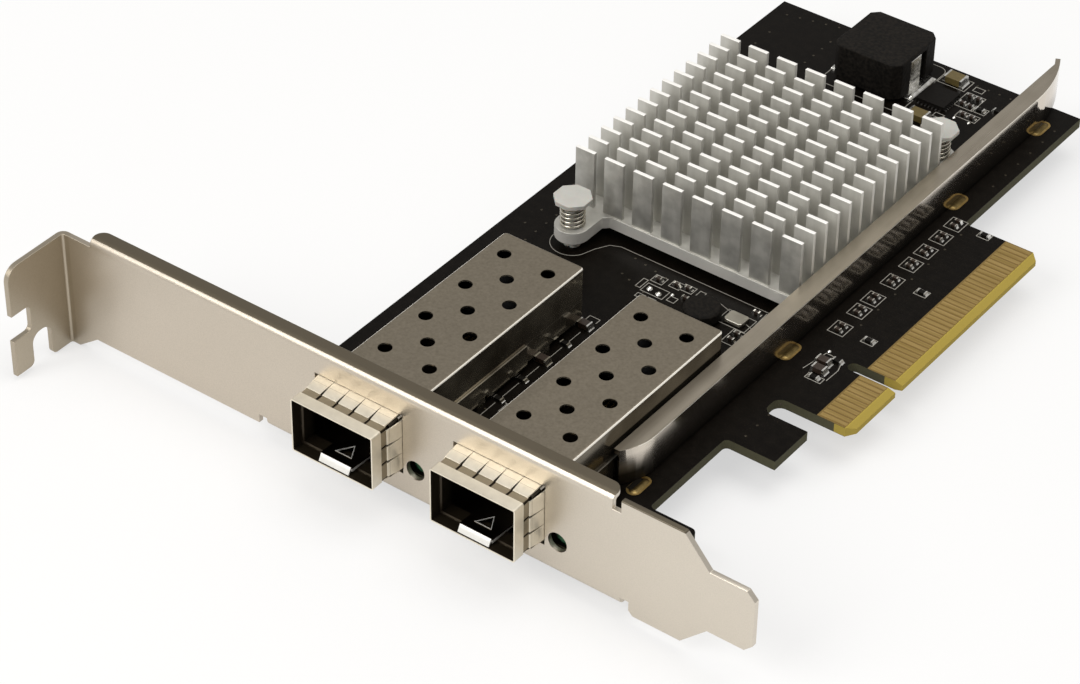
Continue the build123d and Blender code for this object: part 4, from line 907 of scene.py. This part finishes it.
# Painted shade darkens the tab, and a painted reflection of it fades out over the face beside it.
tab_shade_and_reflection = (x < -0.10440) * (0.45 + cloud * 0.15) + (x > -0.10440) * (-0.0950 - x).ramp(0.0, 0.0094) * 0.35
face = nickel.blend(cloud, (0.56, 0.50, 0.418), (0.68, 0.61, 0.52))
face = nickel.blend(sand.ramp(0.35, 0.7) * 0.35, face, (0.48, 0.43, 0.355))
# Painted light brightens the face towards the end away from the tab.
face = nickel.blend(x.ramp(-0.045, 0.0) * 0.3, face, (0.88, 0.84, 0.75))
face = nickel.blend(tab_shade_and_reflection, face, (0.30, 0.25, 0.165))
nickel.feed("Base Color", nickel.blend(ledge_shade, face, (0.15, 0.125, 0.085)))
nickel.feed("Roughness", 0.30 + cloud * 0.08 + sand * 0.10)
nickel.relief(sand, depth=0.000012, strength=0.6)
eased("bracket", nickel, edge=0.00008, shape=fitted)
screw = Finish("screw_plate", (0.62, 0.60, 0.56), Metallic=1.0, Roughness=0.22)
screw.feed("Roughness", 0.16 + screw.noise(1500) * 0.2)
eased("bracket_screws", screw, edge=0.00008, crease=50)

# The card lies on a pale table in a plain pale room, which the camera and bright metal see as white. The
# table keeps the card's shadow.
table_mesh = bpy.data.meshes.new("table")
table_level = cad_box[0].z - 0.0002
table_mesh.from_pydata([(*corner, table_level) for corner in outline(-3, -3, 3, 3)], [], [(0, 1, 2, 3)])
table = bpy.data.objects.new("table", table_mesh)
bpy.context.scene.collection.objects.link(table)
paper = Finish("paper", (0.86, 0.86, 0.86), Roughness=0.9)
paper.feed("Base Color", paper.blend(paper.noise(12), (0.85, 0.85, 0.85), (0.87, 0.87, 0.87)))
glow = paper.node("ShaderNodeEmission", (), {"Color": (1, 1, 1, 1), "Strength": 1.0})
glowing = paper.ray("Camera") * 0.6 + paper.ray("Glossy") * 0.35 + paper.ray("Transmission") * 0.35
paper.mixed(glowing, Term(paper.tree, paper.shader.outputs[0]), glow, "Material Output")
table_mesh.materials.append(paper.material)

room = bpy.data.worlds.new("room")
room.use_nodes = True
bpy.context.scene.world = room
air = Nodes(room.node_tree)
white = air.node("ShaderNodeBackground", (), {"Color": (1, 1, 1, 1)})
dim = air.tree.nodes["Background"]
dim.inputs["Color"].default_value = (1.0, 0.98, 0.95, 1)
dim.inputs["Strength"].default_value = 0.45
air.mixed(air.ray("Camera") + air.ray("Glossy") * 0.1, Term(air.tree, dim.outputs[0]), white, "World Output")

# Two soft square lamps light the card, one in front of it and to the left, and one above it, both turned to
# where the camera looks. Each has its place and size in metres, and its power in watts.
lamps = (("front_lamp", (-0.35, -0.85, 0.75), 0.7, 7.0), ("top_lamp", (0.15, 0.1, 1.1), 0.8, 6.0))
for name, place, size, power in lamps:
    light = bpy.data.lights.new(name, "AREA")
    light.shape, light.size, light.energy, light.color = "SQUARE", size, power, (1.0, 0.985, 0.96)
    soft = bpy.data.objects.new(name, light)
    bpy.context.scene.collection.objects.link(soft)
    soft.location = place
    soft.rotation_euler = (Vector(place) - Vector(aim)).to_track_quat("Z", "Y").to_euler()
